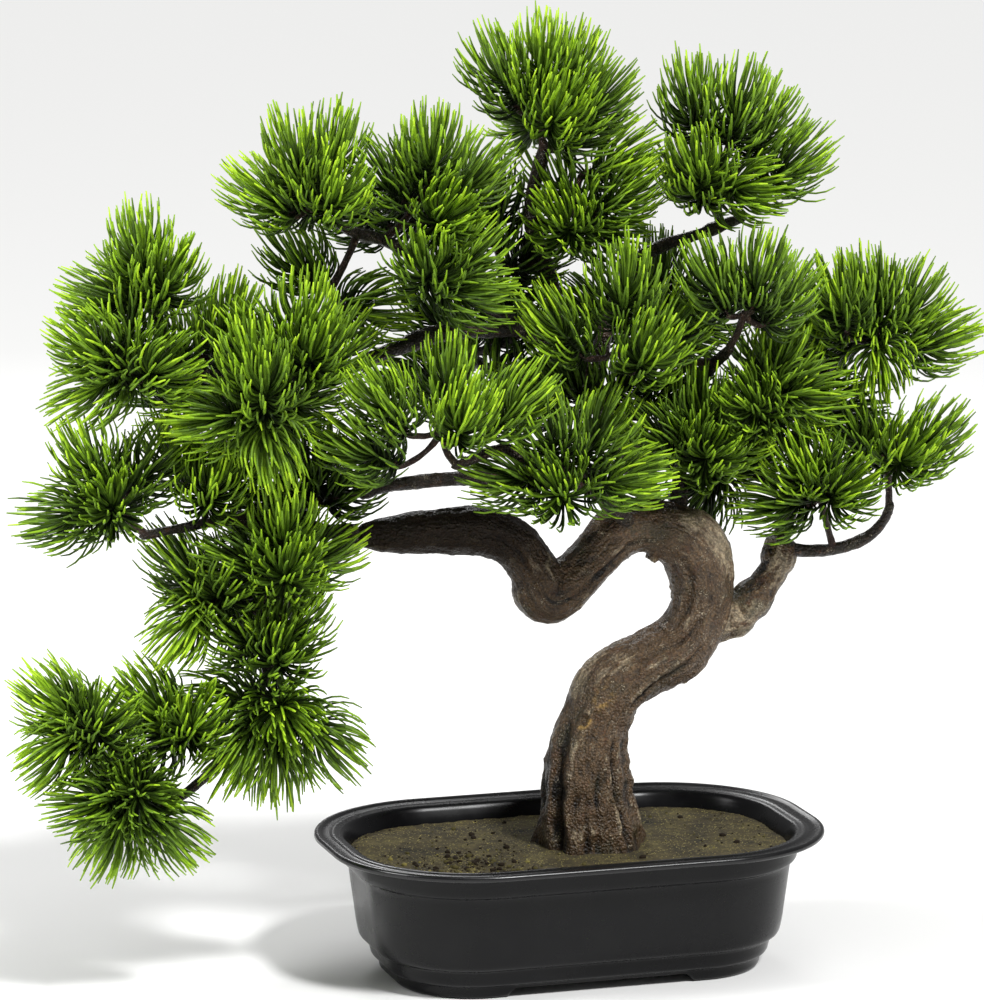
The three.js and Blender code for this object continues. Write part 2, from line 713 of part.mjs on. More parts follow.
// The needles of a tuft that sits close to its hub have their roots further up the stalk.
function tuftSolid(hub, tuft, index, random) {
  const { foot, axis, side } = tuft;
  const twigRing = (middle, direction, radius) => {
    const across = side.clone().addScaledVector(direction, -side.dot(direction)).normalize();
    const frame = { foot: middle, axis: direction, side: across, other: direction.clone().cross(across) };
    return [0, 1, 2].map((k) => aboutAxis(frame, 0, radius, (2 * Math.PI * k) / TWIG.sides));
  };
  const stalkRing = (height, radius) => twigRing(aboutAxis(tuft, height, 0, 0), axis, radius);
  const hubHeight = hub.clone().sub(foot).dot(axis);
  let height = Math.max(1, hubHeight + TWIG.knobRadius - 1);
  const along = aboutAxis(tuft, height, 0, 0).sub(hub).normalize();
  const rings = [twigRing(hub, along, TWIG.forkRadius), stalkRing(height, TWIG.endRadius)];
  for (const whorl of WHORLS) {
    const roots = Math.max(rootHeight(whorl.share), height + TUFT.neckStep);
    const ring = whorlRing(tuft, whorl, roots, index, random);
    if (!ring) continue;
    height = roots + TUFT.neckStep;
    rings.push(ring, stalkRing(height, TUFT.neckRadius));
  }
  const tip = needleTip(tuft, 1, 0);
  const keeps = keepsClear(aboutAxis(tuft, height, 0, 0), tip, index, tuft);
  rings.push([keeps ? tip : aboutAxis(tuft, height + TUFT.neckStep, 0, 0)]);
  return solidOf(loft(rings));
}

function makeMass({ name, index, hub, root, tufts }) {
  const random = seededNumbers(1000 + 17 * index);
  const stem = makeStemTwig(root, hub);
  const knob = solidOf(new THREE.OctahedronGeometry(TWIG.knobRadius).translate(...hub.toArray()));
  const tuftSolids = tufts.map((tuft) => tuftSolid(hub, tuft, index, random));
  const fused = wasm.Manifold.union([stem, knob, ...tuftSolids]);
  const neighbours = Object.values(limbs).map((limb) => limb.grown);
  return { name, solid: cutClear(fused.simplify(FUSED_DETAIL), neighbours) };
}

function makeStemTwig(root, hub) {
  const options = {
    curve: new THREE.LineCurve3(root, hub),
    radiusAt: (t) => THREE.MathUtils.lerp(TWIG.stemRadius, TWIG.forkRadius, t),
    from: 0,
    to: 1,
    steps: 1,
    sides: TWIG.sides,
  };
  return solidOf(loft(sweepRings(options)));
}

// The assembly

function material([colour, roughness]) {
  return new THREE.MeshStandardMaterial({ color: colour, roughness, metalness: 0, flatShading: true });
}

const plant = new THREE.Group();

function addNode(name, solid, finish) {
  const mesh = new THREE.Mesh(geometryOf(solid), material(finish));
  mesh.name = name;
  plant.add(mesh);
}

addNode("bowl", makeBowl(), COLOURS.bowl);
addNode("soil", makeSoil(), COLOURS.soil);
for (const [name, limb] of Object.entries(limbs)) {
  const moulded = name === "right_bough" || !(name in BOUGHS);
  addNode(name, limb.solid, moulded ? COLOURS.bark : COLOURS.twig);
}
for (const plan of plans) {
  const { name, solid } = makeMass(plan);
  const shaded = /^(inner|back)_|_dark$/.test(name);
  addNode(name + "_needles", solid, shaded ? COLOURS.innerNeedles : COLOURS.needles);
}

const bounds = new THREE.Box3().setFromObject(plant, true);
const middle = bounds.getCenter(new THREE.Vector3());
plant.position.set(-middle.x, -middle.y, -bounds.min.z);

const part = new THREE.Group();
part.add(plant);

export default part;
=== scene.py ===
"""Looks of an artificial pine bonsai: moulded trunk and boughs, plastic needles and a filled oval bowl."""

import logging
import math
from dataclasses import dataclass, field
from enum import Enum

import bpy
import numpy as np
from mathutils import Matrix, Vector


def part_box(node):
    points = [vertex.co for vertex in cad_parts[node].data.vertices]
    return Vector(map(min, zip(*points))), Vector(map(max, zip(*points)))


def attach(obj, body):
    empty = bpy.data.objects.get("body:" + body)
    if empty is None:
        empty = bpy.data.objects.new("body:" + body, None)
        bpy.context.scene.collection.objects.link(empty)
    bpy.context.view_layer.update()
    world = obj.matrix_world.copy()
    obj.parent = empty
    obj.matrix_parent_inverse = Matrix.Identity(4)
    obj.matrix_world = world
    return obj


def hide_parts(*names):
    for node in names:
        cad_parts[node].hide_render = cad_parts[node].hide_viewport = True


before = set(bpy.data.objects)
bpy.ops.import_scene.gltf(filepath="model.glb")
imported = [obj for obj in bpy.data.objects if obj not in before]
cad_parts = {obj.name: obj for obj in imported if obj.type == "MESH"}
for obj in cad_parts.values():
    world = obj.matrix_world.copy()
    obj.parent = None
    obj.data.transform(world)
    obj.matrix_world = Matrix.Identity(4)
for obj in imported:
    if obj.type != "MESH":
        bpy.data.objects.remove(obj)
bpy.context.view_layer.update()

log = logging.getLogger("bonsai")

Array = np.ndarray
Material = bpy.types.Material
Socket = bpy.types.NodeSocket

MM = 0.001
TURN = 2 * math.pi
GOLDEN_ANGLE = math.pi * (3 - math.sqrt(5))
BOWL_LOW, BOWL_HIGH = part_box("bowl")
BOWL_MIDDLE = np.array([(BOWL_LOW[0] + BOWL_HIGH[0]) / 2, (BOWL_LOW[1] + BOWL_HIGH[1]) / 2, 0.0])


# Colour, shader and mesh helpers


def linear(hex_colour: str) -> tuple[float, float, float, float]:
    """Turn an sRGB hex colour into linear red, green, blue and full alpha.

    Args:
        hex_colour: The colour as "#rrggbb".

    Returns:
        The four linear values that a shader socket takes.
    """
    parts = [int(hex_colour[i : i + 2], 16) / 255 for i in (1, 3, 5)]
    red, green, blue = (p / 12.92 if p <= 0.04045 else ((p + 0.055) / 1.055) ** 2.4 for p in parts)
    return red, green, blue, 1.0


def per_mm(size_mm: float) -> float:
    """Return the texture scale at which one cell of a pattern is size_mm across, on coordinates in metres."""
    return 1 / (size_mm * MM)


def placed(name: str, data: bpy.types.ID) -> bpy.types.Object:
    """Make an object and link it to the scene.

    Args:
        name: Its name.
        data: Its mesh, light or camera.

    Returns:
        The object.
    """
    thing = bpy.data.objects.new(name, data)
    bpy.context.scene.collection.objects.link(thing)
    return thing


@dataclass
class Shader:
    """A material under construction, with its node tree and principled shader."""

    material: Material
    tree: bpy.types.NodeTree
    surface: bpy.types.Node

    @classmethod
    def named(cls, name: str) -> "Shader":
        """Start a material that so far is plain.

        Args:
            name: The material's name.

        Returns:
            The material under construction.
        """
        material = bpy.data.materials.new(name)
        material.use_nodes = True
        return cls(material, material.node_tree, material.node_tree.nodes["Principled BSDF"])

    def add(self, kind: str, inputs: dict | None = None, **settings: object) -> bpy.types.Node:
        """Add one node with its settings, socket values and links.

        Args:
            kind: Blender's name for the type of node, without its ShaderNode prefix.
            inputs: Socket name or number to a plain value, or to an output socket to link from.
            settings: Properties of the node itself.

        Returns:
            The new node.
        """
        node = self.tree.nodes.new("ShaderNode" + kind)
        for name, value in settings.items():
            setattr(node, name, value)
        self.put(node, inputs or {})
        return node

    def put(self, node: bpy.types.Node, inputs: dict) -> None:
        """Set or link a node's sockets.

        Args:
            node: The node.
            inputs: Socket name or number to a plain value, or to an output socket to link from.
        """
        for socket, value in inputs.items():
            if isinstance(value, Socket):
                self.tree.links.new(value, node.inputs[socket])
            else:
                node.inputs[socket].default_value = value

    def place(self) -> Socket:
        """Return the object's own coordinates, in metres."""
        return self.add("TexCoord").outputs["Object"]

    def painted(self, name: str) -> Socket:
        """Return the three values painted on the mesh under a name."""
        return self.add("Attribute", attribute_name=name).outputs["Vector"]

    def relief(self) -> bpy.types.bpy_prop_collection:
        """Return the paint values named relief, apart, as outputs X, Y and Z."""
        return self.add("SeparateXYZ", {"Vector": self.painted("relief")}).outputs

    def sum(self, operation: str, *values: object) -> Socket:
        """Return the result of one arithmetic node on values and sockets."""
        return self.add("Math", dict(enumerate(values)), operation=operation).outputs["Value"]

    def cells(self, place: Socket, size_mm: float) -> bpy.types.bpy_prop_collection:
        """Return the outputs of a pattern of grains about size_mm across."""
        return self.add("TexVoronoi", {"Vector": place, "Scale": per_mm(size_mm)}).outputs

    def noise(self, place: Socket, size_mm: float, detail: float) -> Socket:
        """Return a noise value from 0 to 1 with patches about size_mm across."""
        inputs = {"Vector": place, "Scale": per_mm(size_mm), "Detail": detail, "Roughness": 0.64}
        return self.add("TexNoise", inputs).outputs["Fac"]

    def spread(self, value: Socket, low: float, high: float, to_low: float, to_high: float) -> Socket:
        """Return a value mapped from one range onto another and held within it."""
        inputs = {"Value": value, "From Min": low, "From Max": high, "To Min": to_low, "To Max": to_high}
        return self.add("MapRange", inputs).outputs["Result"]

    def ramp(self, factor: Socket, stops: list[tuple[float, str]]) -> Socket:
        """Return a colour from a ramp.

        Args:
            factor: The socket that drives it.
            stops: Place from 0 to 1 and sRGB hex colour of each stop.

        Returns:
            The ramp's colour socket.
        """
        node = self.add("ValToRGB", {"Fac": factor})
        elements = node.color_ramp.elements
        while len(elements) < len(stops):
            elements.new(0.5)
        for element, (place, colour) in zip(elements, stops):
            element.position = place
            element.color = linear(colour)
        return node.outputs["Color"]

    def over(self, below: Socket, colour: object, amount: object, blend: str = "MIX") -> Socket:
        """Return a colour laid over another by an amount.

        Args:
            below: The colour underneath.
            colour: An sRGB hex colour or a colour socket.
            amount: A value or socket from 0 to 1.
            blend: Blender's name for the way they mix.

        Returns:
            The mixed colour's socket.
        """
        top = linear(colour) if isinstance(colour, str) else colour
        node = self.add("Mix", {0: amount, 6: below, 7: top}, data_type="RGBA", blend_type=blend)
        return node.outputs[2]

    def bump(self, height: Socket, strength: float, depth_mm: float) -> Socket:
        """Return a normal bent by a height."""
        inputs = {"Height": height, "Strength": strength, "Distance": depth_mm * MM}
        return self.add("Bump", inputs).outputs["Normal"]

    def finish(self, **inputs: object) -> Material:
        """Set the principled shader's sockets, named with underscores for spaces, and return the material."""
        self.put(self.surface, {name.replace("_", " "): value for name, value in inputs.items()})
        return self.material


@dataclass
class Skin:
    """Points and faces gathered into one mesh, in millimetres from the middle of the bowl's underside."""

    points: list[Array] = field(default_factory=list)
    faces: list[Array] = field(default_factory=list)
    tones: list[Array] = field(default_factory=list)
    paint: dict[str, list[Array]] = field(default_factory=dict)
    count: int = 0

    def add(self, points: Array, faces: list[Array], tone: int | Array = 0, **paint: Array) -> None:
        """Add one patch of mesh.

        Args:
            points: Its points, one a row.
            faces: Arrays of corner numbers, one face a row, counted from the patch's first point.
            tone: Number of the material for the whole patch, or one for each face.
            paint: Named values for each point that a material reads.
        """
        for block in faces:
            self.faces.append(block + self.count)
        total = sum(len(block) for block in faces)
        self.tones.append(np.broadcast_to(np.asarray(tone, np.int32), (total,)))
        self.points.append(points)
        for name, values in paint.items():
            self.paint.setdefault(name, []).append(values)
        self.count += len(points)

    def build(self, name: str, materials: list[Material], slot: str, replaces: list[str]) -> bpy.types.Object:
        """Make the object, put it on the plant's body and hide the parts that it stands for.

        Args:
            name: The piece's name.
            materials: Its materials, in the order of the tone numbers.
            slot: Not used.
            replaces: The nodes that it stands for.

        Returns:
            The finished piece.
        """
        mesh = bpy.data.meshes.new(name)
        points = np.concatenate(self.points) * MM + BOWL_MIDDLE
        mesh.vertices.add(len(points))
        mesh.vertices.foreach_set("co", points.astype(np.float32).ravel())
        sizes = np.concatenate([np.full(len(block), block.shape[1]) for block in self.faces])
        corners = np.concatenate([block.ravel() for block in self.faces])
        mesh.loops.add(len(corners))
        mesh.loops.foreach_set("vertex_index", corners.astype(np.int32))
        mesh.polygons.add(len(sizes))
        starts = np.concatenate([[0], np.cumsum(sizes)[:-1]])
        mesh.polygons.foreach_set("loop_start", starts.astype(np.int32))
        mesh.polygons.foreach_set("material_index", np.concatenate(self.tones).astype(np.int32))
        for key, blocks in self.paint.items():
            layer = mesh.attributes.new(key, "FLOAT_VECTOR", "POINT")
            layer.data.foreach_set("vector", np.concatenate(blocks).astype(np.float32).ravel())
        mesh.update(calc_edges=True)
        mesh.validate()
        mesh.shade_smooth()
        for material in materials:
            mesh.materials.append(material)
        piece = placed(name, mesh)
        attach(piece, "root")
        if replaces:
            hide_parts(*replaces)
        log.info("%s: %d triangles", name, int((sizes - 2).sum()))
        return piece


# Curves and noise


def smooth_path(stations: Array, per: int) -> Array:
    """Run the solids' own curve through a limb's stations.

    Args:
        stations: The points that the limb passes through.
        per: Steps from one station to the next.

    Returns:
        The points along the curve.
    """
    ends = np.vstack([2 * stations[0] - stations[1], stations, 2 * stations[-1] - stations[-2]])
    gaps = np.sqrt(np.linalg.norm(np.diff(ends, axis=0), axis=1))
    t = np.linspace(0, 1, per, endpoint=False)[:, None]
    runs = []
    for i in range(len(stations) - 1):
        before, start, end, after = ends[i : i + 4]
        a, b, c = gaps[i : i + 3]
        leave = b * ((start - before) / a - (end - before) / (a + b) + (end - start) / b)
        arrive = b * ((end - start) / b - (after - start) / (b + c) + (after - end) / c)
        run = (2 * t**3 - 3 * t**2 + 1) * start + (t**3 - 2 * t**2 + t) * leave
        runs.append(run + (3 * t**2 - 2 * t**3) * end + (t**3 - t**2) * arrive)
    return np.vstack([*runs, stations[-1:]])


def even_steps(path: Array, values: Array, step: float) -> tuple[Array, Array, Array]:
    """Space a path's points evenly.

    Args:
        path: Its points.
        values: A value at each point, such as the radius.
        step: The spacing in millimetres.

    Returns:
        The new points, their values and their lengths along the path.
    """
    along = np.concatenate([[0], np.cumsum(np.linalg.norm(np.diff(path, axis=0), axis=1))])
    places = np.linspace(0, along[-1], max(3, int(round(along[-1] / step)) + 1))
    points = np.stack([np.interp(places, along, path[:, k]) for k in range(3)], axis=1)
    return points, np.interp(places, along, values), places


def turning_frames(path: Array) -> tuple[Array, Array]:
    """Find two directions across a path at each point that don't twist about it.

    Args:
        path: Its points.

    Returns:
        The first direction, which starts towards the back, and the second one.
    """
    along = np.gradient(path, axis=0)
    along /= np.linalg.norm(along, axis=1, keepdims=True)
    side = np.array([0.0, 1.0, 0.0])
    if abs(along[0] @ side) > 0.9:
        side = np.array([0.0, 0.0, 1.0])
    sides = []
    for direction in along:
        side = side - direction * (side @ direction)
        side = side / np.linalg.norm(side)
        sides.append(side)
    sides = np.array(sides)
    return sides, np.cross(along, sides)


def tube_faces(rings: int, sides: int) -> list[Array]:
    """Join a tube's rings by quads, and close both its ends by a fan of triangles.

    Args:
        rings: How many rings it has.
        sides: How many points each ring has.

    Returns:
        The walls, the first end and the last one, one face a row.
    """
    ring, side = np.meshgrid(np.arange(rings - 1), np.arange(sides), indexing="ij")
    a = (ring * sides + side).ravel()
    b = (ring * sides + (side + 1) % sides).ravel()
    walls = np.stack([a, b, b + sides, a + sides], axis=1)
    fan = np.arange(1, sides - 1)
    last = (rings - 1) * sides
    foot = np.stack([np.zeros_like(fan), fan + 1, fan], axis=1)
    head = np.stack([np.full_like(fan, last), fan + last, fan + 1 + last], axis=1)
    return [walls, foot, head]


def ring_angles(sides: int) -> Array:
    """Return the angles of a tube's sides, as one row."""
    return np.linspace(0, TURN, sides, endpoint=False)[None, :]


def tube_points(path: Array, frames: tuple[Array, Array], radius: Array, angle: Array) -> Array:
    """Stand rings of points round a path.

    Args:
        path: Its points.
        frames: The two directions across it at each point.
        radius: How far from it each point of each ring stands.
        angle: The angles of the ring's sides.

    Returns:
        The points, by ring and side.
    """
    side, other = (direction[:, None, :] for direction in frames)
    across = side * (radius * np.cos(angle))[..., None] + other * (radius * np.sin(angle))[..., None]
    return path[:, None, :] + across


def straightened(radius: Array, angle: Array, along: Array) -> Array:
    """Return a tube's points as if its path were straight, for patterns that follow the bark."""
    length = along[:, None] * np.ones_like(angle)
    return np.stack([radius * np.cos(angle), radius * np.sin(angle), length], axis=-1)


def bark_paint(around: Array, height: Array, darkening: Array | float = 0.0, straw: Array | float = 0.0) -> dict:
    """Return the paint that bark reads: its coordinates, and its height, darkening and straw from 0 to 1; the
    darkening is darker paint on the left arm and painted shade.
    """
    parts = [np.broadcast_to(part, height.shape).ravel() for part in (height, darkening, straw)]
    return {"grain": (around * MM).reshape(-1, 3), "relief": np.stack(parts, axis=1)}


def bell(away: Array, width: float) -> Array:
    """Return a swelling of height 1 that fades out over a width."""
    return np.exp(-((away / width) ** 2))


def rounded_tip(along: Array, length: float) -> Array:
    """Return the share of its radius that each ring of a limb keeps, as its tip rounds off."""
    return np.clip((along[-1] - along) / length, 0, 1)[:, None] ** 0.5


def turn_from(line: Array | float, angle: Array) -> Array:
    """Return how far each angle lies from a line, the short way round."""
    return (angle - line + math.pi) % TURN - math.pi


class Grit:
    """Seeded noise on a lattice of random values, the same at every run."""

    def __init__(self, seed: int) -> None:
        """Deal out the lattice's values."""
        self.values = np.random.default_rng(seed).uniform(-1, 1, (32, 32, 32))

    def at(self, points: Array, size: float) -> Array:
        """Read smooth noise.

        Args:
            points: Where to read it.
            size: How far across its lumps are.

        Returns:
            A value from -1 to 1 for each point.
        """
        scaled = points / size
        cell = np.floor(scaled).astype(int)
        f = scaled - cell
        f = f * f * (3 - 2 * f)
        total = np.zeros(points.shape[:-1])
        for corner in np.ndindex(2, 2, 2):
            step = np.array(corner)
            weight = np.prod(np.where(step, f, 1 - f), axis=-1)
            i, j, k = np.moveaxis((cell + step) % 32, -1, 0)
            total += weight * self.values[i, j, k]
        return total

    def ridges(self, points: Array, size: float) -> Array:
        """Return noise from about -1.6 to 1 with sharp crests, as of folded bark."""
        return 1 - 2.6 * np.abs(self.at(points, size))


# Finishes


@dataclass(frozen=True)
class MouldedBark:
    """Cast resin bark, painted brown, with painted shade in its furrows and painted highlights on its ridges;
    sandy and satin.

    It reads the paint values relief (height, darkening, straw fleck) and grain (bark coordinates); the
    darkening is the left arm's darker paint and painted shade.
    """

    name: str
    furrow: str
    body: str
    ridge_highlight: str
    moss: str = "#35341d"
    rust: str = "#5c3c25"
    straw: str = "#b08d4a"
    painted_glint: str = "#c2b59c"
    stain_and_shade: str = "#120b06"
    roughness: float = 0.33
    varnish: float = 0.5
    matt: float = 0.16
    streak_mm: float = 3.4
    crease_mm: float = 2.0
    sand_mm: float = 1.5
    glint_mm: float = 0.8
    patch_mm: float = 24.0
    depth_mm: float = 2.1

    def build(self) -> Material:
        """Build the finish.

        Returns:
            The material.
        """
        shader = Shader.named(self.name)
        grain, relief, place = shader.painted("grain"), shader.relief(), shader.place()
        streaks = shader.noise(grain, self.streak_mm, 7.0)
        patches = shader.noise(place, self.patch_mm, 5.0)
        blotches = shader.noise(place, self.patch_mm / 4, 6.0)
        sand = shader.cells(place, self.sand_mm)["Distance"]
        # The colour follows the relief, broken up by streaks: painted shade darkens the furrows and a painted
        # highlight makes the ridges read pale.
        depth = shader.spread(shader.sum("MULTIPLY_ADD", relief["X"], 0.55, streaks), 0.46, 1.04, 0.0, 1.0)
        stops = [(0.0, self.furrow), (0.36, self.body), (0.8, self.body), (1.0, self.ridge_highlight)]
        colour = shader.ramp(depth, stops)
        # Fine creases along the grain are darkened by painted shade, and their crests lightened by painted
        # light.
        fine = shader.noise(grain, self.crease_mm, 9.0)
        colour = shader.over(colour, shader.spread(fine, 0.38, 0.62, 0.55, 1.4), 0.85, "MULTIPLY")
        # Mossy and rusty washes lie over it in broad patches, which warm and cool the brown.
        colour = shader.over(colour, self.moss, shader.spread(patches, 0.52, 0.66, 0.0, 0.6))
        colour = shader.over(colour, self.rust, shader.spread(blotches, 0.43, 0.31, 0.0, 0.7))
        # Sandy grains get painted shade between them and painted light on top, and a few carry a painted
        # glint.
        colour = shader.over(colour, shader.spread(sand, 0.1, 0.75, 1.3, 0.55), 0.9, "MULTIPLY")
        fleck = shader.sum("ADD", shader.noise(place, self.glint_mm, 2.0), blotches)
        colour = shader.over(colour, self.painted_glint, shader.spread(fleck, 1.2, 1.26, 0.0, 0.75))
        colour = shader.over(colour, self.straw, relief["Z"])
        # The near-black darkening, which is the left arm's darker paint with painted shade over it and the
        # painted shade in the furrows and at the foot, is matt, so it holds no grey sheen.
        colour = shader.over(colour, self.stain_and_shade, relief["Y"])
        varnish = shader.spread(relief["Y"], 0.0, 1.0, self.varnish, self.matt)
        gloss = shader.spread(streaks, 0.3, 0.7, self.roughness + 0.12, self.roughness - 0.1)
        height = shader.sum("ADD", fine, shader.spread(sand, 0.0, 0.8, 0.42, 0.0))
        inputs = {"Specular_IOR_Level": varnish, "Base_Color": colour, "Roughness": gloss}
        return shader.finish(Normal=shader.bump(height, 1.0, self.depth_mm), IOR=1.5, **inputs)


@dataclass(frozen=True)
class BlackPolypropylene:
    """Black polypropylene, injection moulded with a fine eggshell texture: satin, with broad highlights."""

    name: str = "black_polypropylene_moulded"
    colour: str = "#08080a"
    dusty: str = "#121213"
    roughness: float = 0.24
    bloom_mm: float = 40.0
    line_mm: float = 3.2
    texture_mm: float = 0.8
    depth_mm: float = 0.12

    def build(self) -> Material:
        """Build the finish.

        Returns:
            The material.
        """
        shader = Shader.named(self.name)
        place = shader.place()
        # Handling leaves a faint grey bloom in broad patches, which the eye reads as dust.
        bloom = shader.noise(place, self.bloom_mm, 6.0)
        colour = shader.ramp(bloom, [(0.35, self.colour), (0.75, self.dusty)])
        gloss = shader.spread(bloom, 0.3, 0.75, self.roughness - 0.03, self.roughness + 0.1)
        # The lips of the rim are rubbed smooth, so that they catch a thin bright line of light.
        shine = shader.spread(shader.relief()["X"], 0.0, 1.0, 0.2, 0.42)
        # Flow lines from the mould run level round the wall.
        level = shader.add("Mapping", {"Vector": place, "Scale": (0.12, 0.12, 1.0)}).outputs["Vector"]
        lines = shader.noise(level, self.line_mm, 2.0)
        height = shader.sum("ADD", lines, shader.noise(place, self.texture_mm, 3.0))
        inputs = {"Specular_IOR_Level": shine, "Base_Color": colour, "Roughness": gloss}
        return shader.finish(Normal=shader.bump(height, 0.09, self.depth_mm), IOR=1.49, **inputs)


@dataclass(frozen=True)
class FlockedFiller:
    """Cement filler brushed with glue and dusted with olive flock: matt and sandy, with bright fibre ends."""

    name: str = "cement_filler_flocked"
    dark: str = "#2a2413"
    body: str = "#544a2b"
    olive: str = "#6c6238"
    fibre: str = "#c4b768"
    grain_mm: float = 0.6
    clod_mm: float = 5.0
    patch_mm: float = 22.0

    def build(self) -> Material:
        """Build the finish.

        Returns:
            The material.
        """
        shader = Shader.named(self.name)
        place = shader.place()
        patches = shader.noise(place, self.patch_mm, 9.0)
        colour = shader.ramp(patches, [(0.34, self.dark), (0.5, self.body), (0.68, self.olive)])
        # Clods are darker in their hollows and paler on their tops, every few millimetres.
        clods = shader.noise(place, self.clod_mm, 8.0)
        colour = shader.over(colour, shader.spread(clods, 0.36, 0.64, 0.6, 1.32), 1.0, "MULTIPLY")
        grains = shader.cells(place, self.grain_mm)
        colour = shader.over(colour, shader.spread(grains["Distance"], 0.0, 0.8, 1.3, 0.6), 1.0, "MULTIPLY")
        # One grain in twenty or so carries the bright end of a fibre.
        chosen = shader.add("SeparateColor", {"Color": grains["Color"]}).outputs["Red"]
        colour = shader.over(colour, self.fibre, shader.spread(chosen, 0.955, 0.965, 0.0, 0.8))
        normal = shader.bump(shader.sum("SUBTRACT", clods, grains["Distance"]), 1.0, 1.0)
        return shader.finish(Base_Color=colour, Normal=normal, Roughness=0.86)


@dataclass(frozen=True)
class DyedPolyethylene:
    """Dyed polyethylene, moulded into needles: one plain colour and a soft waxy sheen."""

    name: str
    colour: str
    roughness: float

    def build(self) -> Material:
        """Build the finish.

        Returns:
            The material.
        """
        shader = Shader.named(self.name)
        inputs = {"Base_Color": linear(self.colour), "Specular_IOR_Level": 0.22}
        return shader.finish(Roughness=self.roughness, IOR=1.5, **inputs)


class Green(Enum):
    """The greens of the needles, from the shaded roots to the fresh tips."""

    DEEP = DyedPolyethylene("polyethylene_deep_green", "#141f09", 0.52)
    SHADE = DyedPolyethylene("polyethylene_shade_green", "#263710", 0.5)
    OLD = DyedPolyethylene("polyethylene_old_green", "#3c5417", 0.47)
    LEAF = DyedPolyethylene("polyethylene_leaf_green", "#55731e", 0.45)
    FRESH = DyedPolyethylene("polyethylene_fresh_green", "#6a8c20", 0.43)
    BRIGHT = DyedPolyethylene("polyethylene_bright_green", "#88b020", 0.42)
    LIME = DyedPolyethylene("polyethylene_lime_tip", "#afd52c", 0.42)


class Crumb(Enum):
    """The loose crumbs on the filler."""

    PEAT = DyedPolyethylene("crumb_peat_brown", "#221a10", 0.9)
    MOSS = DyedPolyethylene("crumb_moss_olive", "#4a4425", 0.88)
    STRAW = DyedPolyethylene("crumb_straw_yellow", "#7d7440", 0.85)


def dyed(kinds: type[Enum]) -> list[Material]:
    """Return the materials of all the members of a list of finishes, in their order."""
    return [kind.value.build() for kind in kinds]


# The trunk and the boughs

# The bark's coordinates are shortened along a limb, so that streaks run along it.
GRAIN_PULL = [1, 1, 0.3]


@dataclass(frozen=True)
class BarkGrid:
    """The stem's bark, ring by ring: straightened points, length along it, angle, and plain radius."""

    around: Array
    along: Array
    angle: Array
    radii: Array


@dataclass(frozen=True)
class Knot:
    """A healed stub: a raised collar round a hollow, or a plain boss where the hollow is nought."""

    along: float
    angle: float
    radius: float
    height: float
    hollow: float = 1.0
    straw: float = 0.0

    def press(self, bark: BarkGrid, grit: Grit) -> tuple[Array, Array]:
        """Work out the stub.

        Args:
            bark: The bark's points.
            grit: The noise that breaks up its straw colour.

        Returns:
            The height that it adds to the bark, and its share of straw colour.
        """
        away = np.hypot((bark.along - self.along) * 0.8, turn_from(self.angle, bark.angle) * bark.radii)
        near = bell(away, self.radius)
        if not self.hollow:
            return self.height * near, near * self.straw * (grit.at(bark.around, 1.5) > 0.15)
        collar = bell(away - self.radius, 0.9)
        pit = self.hollow * bell(away, 0.6 * self.radius)
        flecked = (grit.at(bark.around + 3, 3) > -0.1) * (bark.along < self.along + 1)
        return self.height * (0.7 * collar - pit + 0.6 * near), collar * self.straw * flecked


@dataclass(frozen=True)
class Furrow:
    """A deep fold that runs along the stem and turns a little about it."""

    along: tuple[float, float]
    angle: tuple[float, float]
    depth: float
    width: float

    def press(self, bark: BarkGrid, wander: Array) -> tuple[Array, Array]:
        """Work out the fold, with the low lips that stand along it.

        Args:
            bark: The bark's points.
            wander: How far the fold strays sideways at each of them, in millimetres.

        Returns:
            The height that it adds to the bark, and the painted shade that darkens its core.
        """
        share = (bark.along - self.along[0]) / (self.along[1] - self.along[0])
        line = self.angle[0] + (self.angle[1] - self.angle[0]) * share
        away = turn_from(line, bark.angle) * bark.radii + wander
        fade = np.clip(4 * share * (1 - share), 0, 1) ** 0.5
        lips = bell(np.abs(away) - 2.2 * self.width, self.width)
        # The fold's core is darkened by painted shade.
        shaded_core = bell(away, np.clip(0.5 * self.width, 1.1, 1.8))
        height = self.depth * fade * (0.35 * lips - bell(away, self.width))
        return height, 0.8 * min(1, self.depth / 2.6) * fade * shaded_core


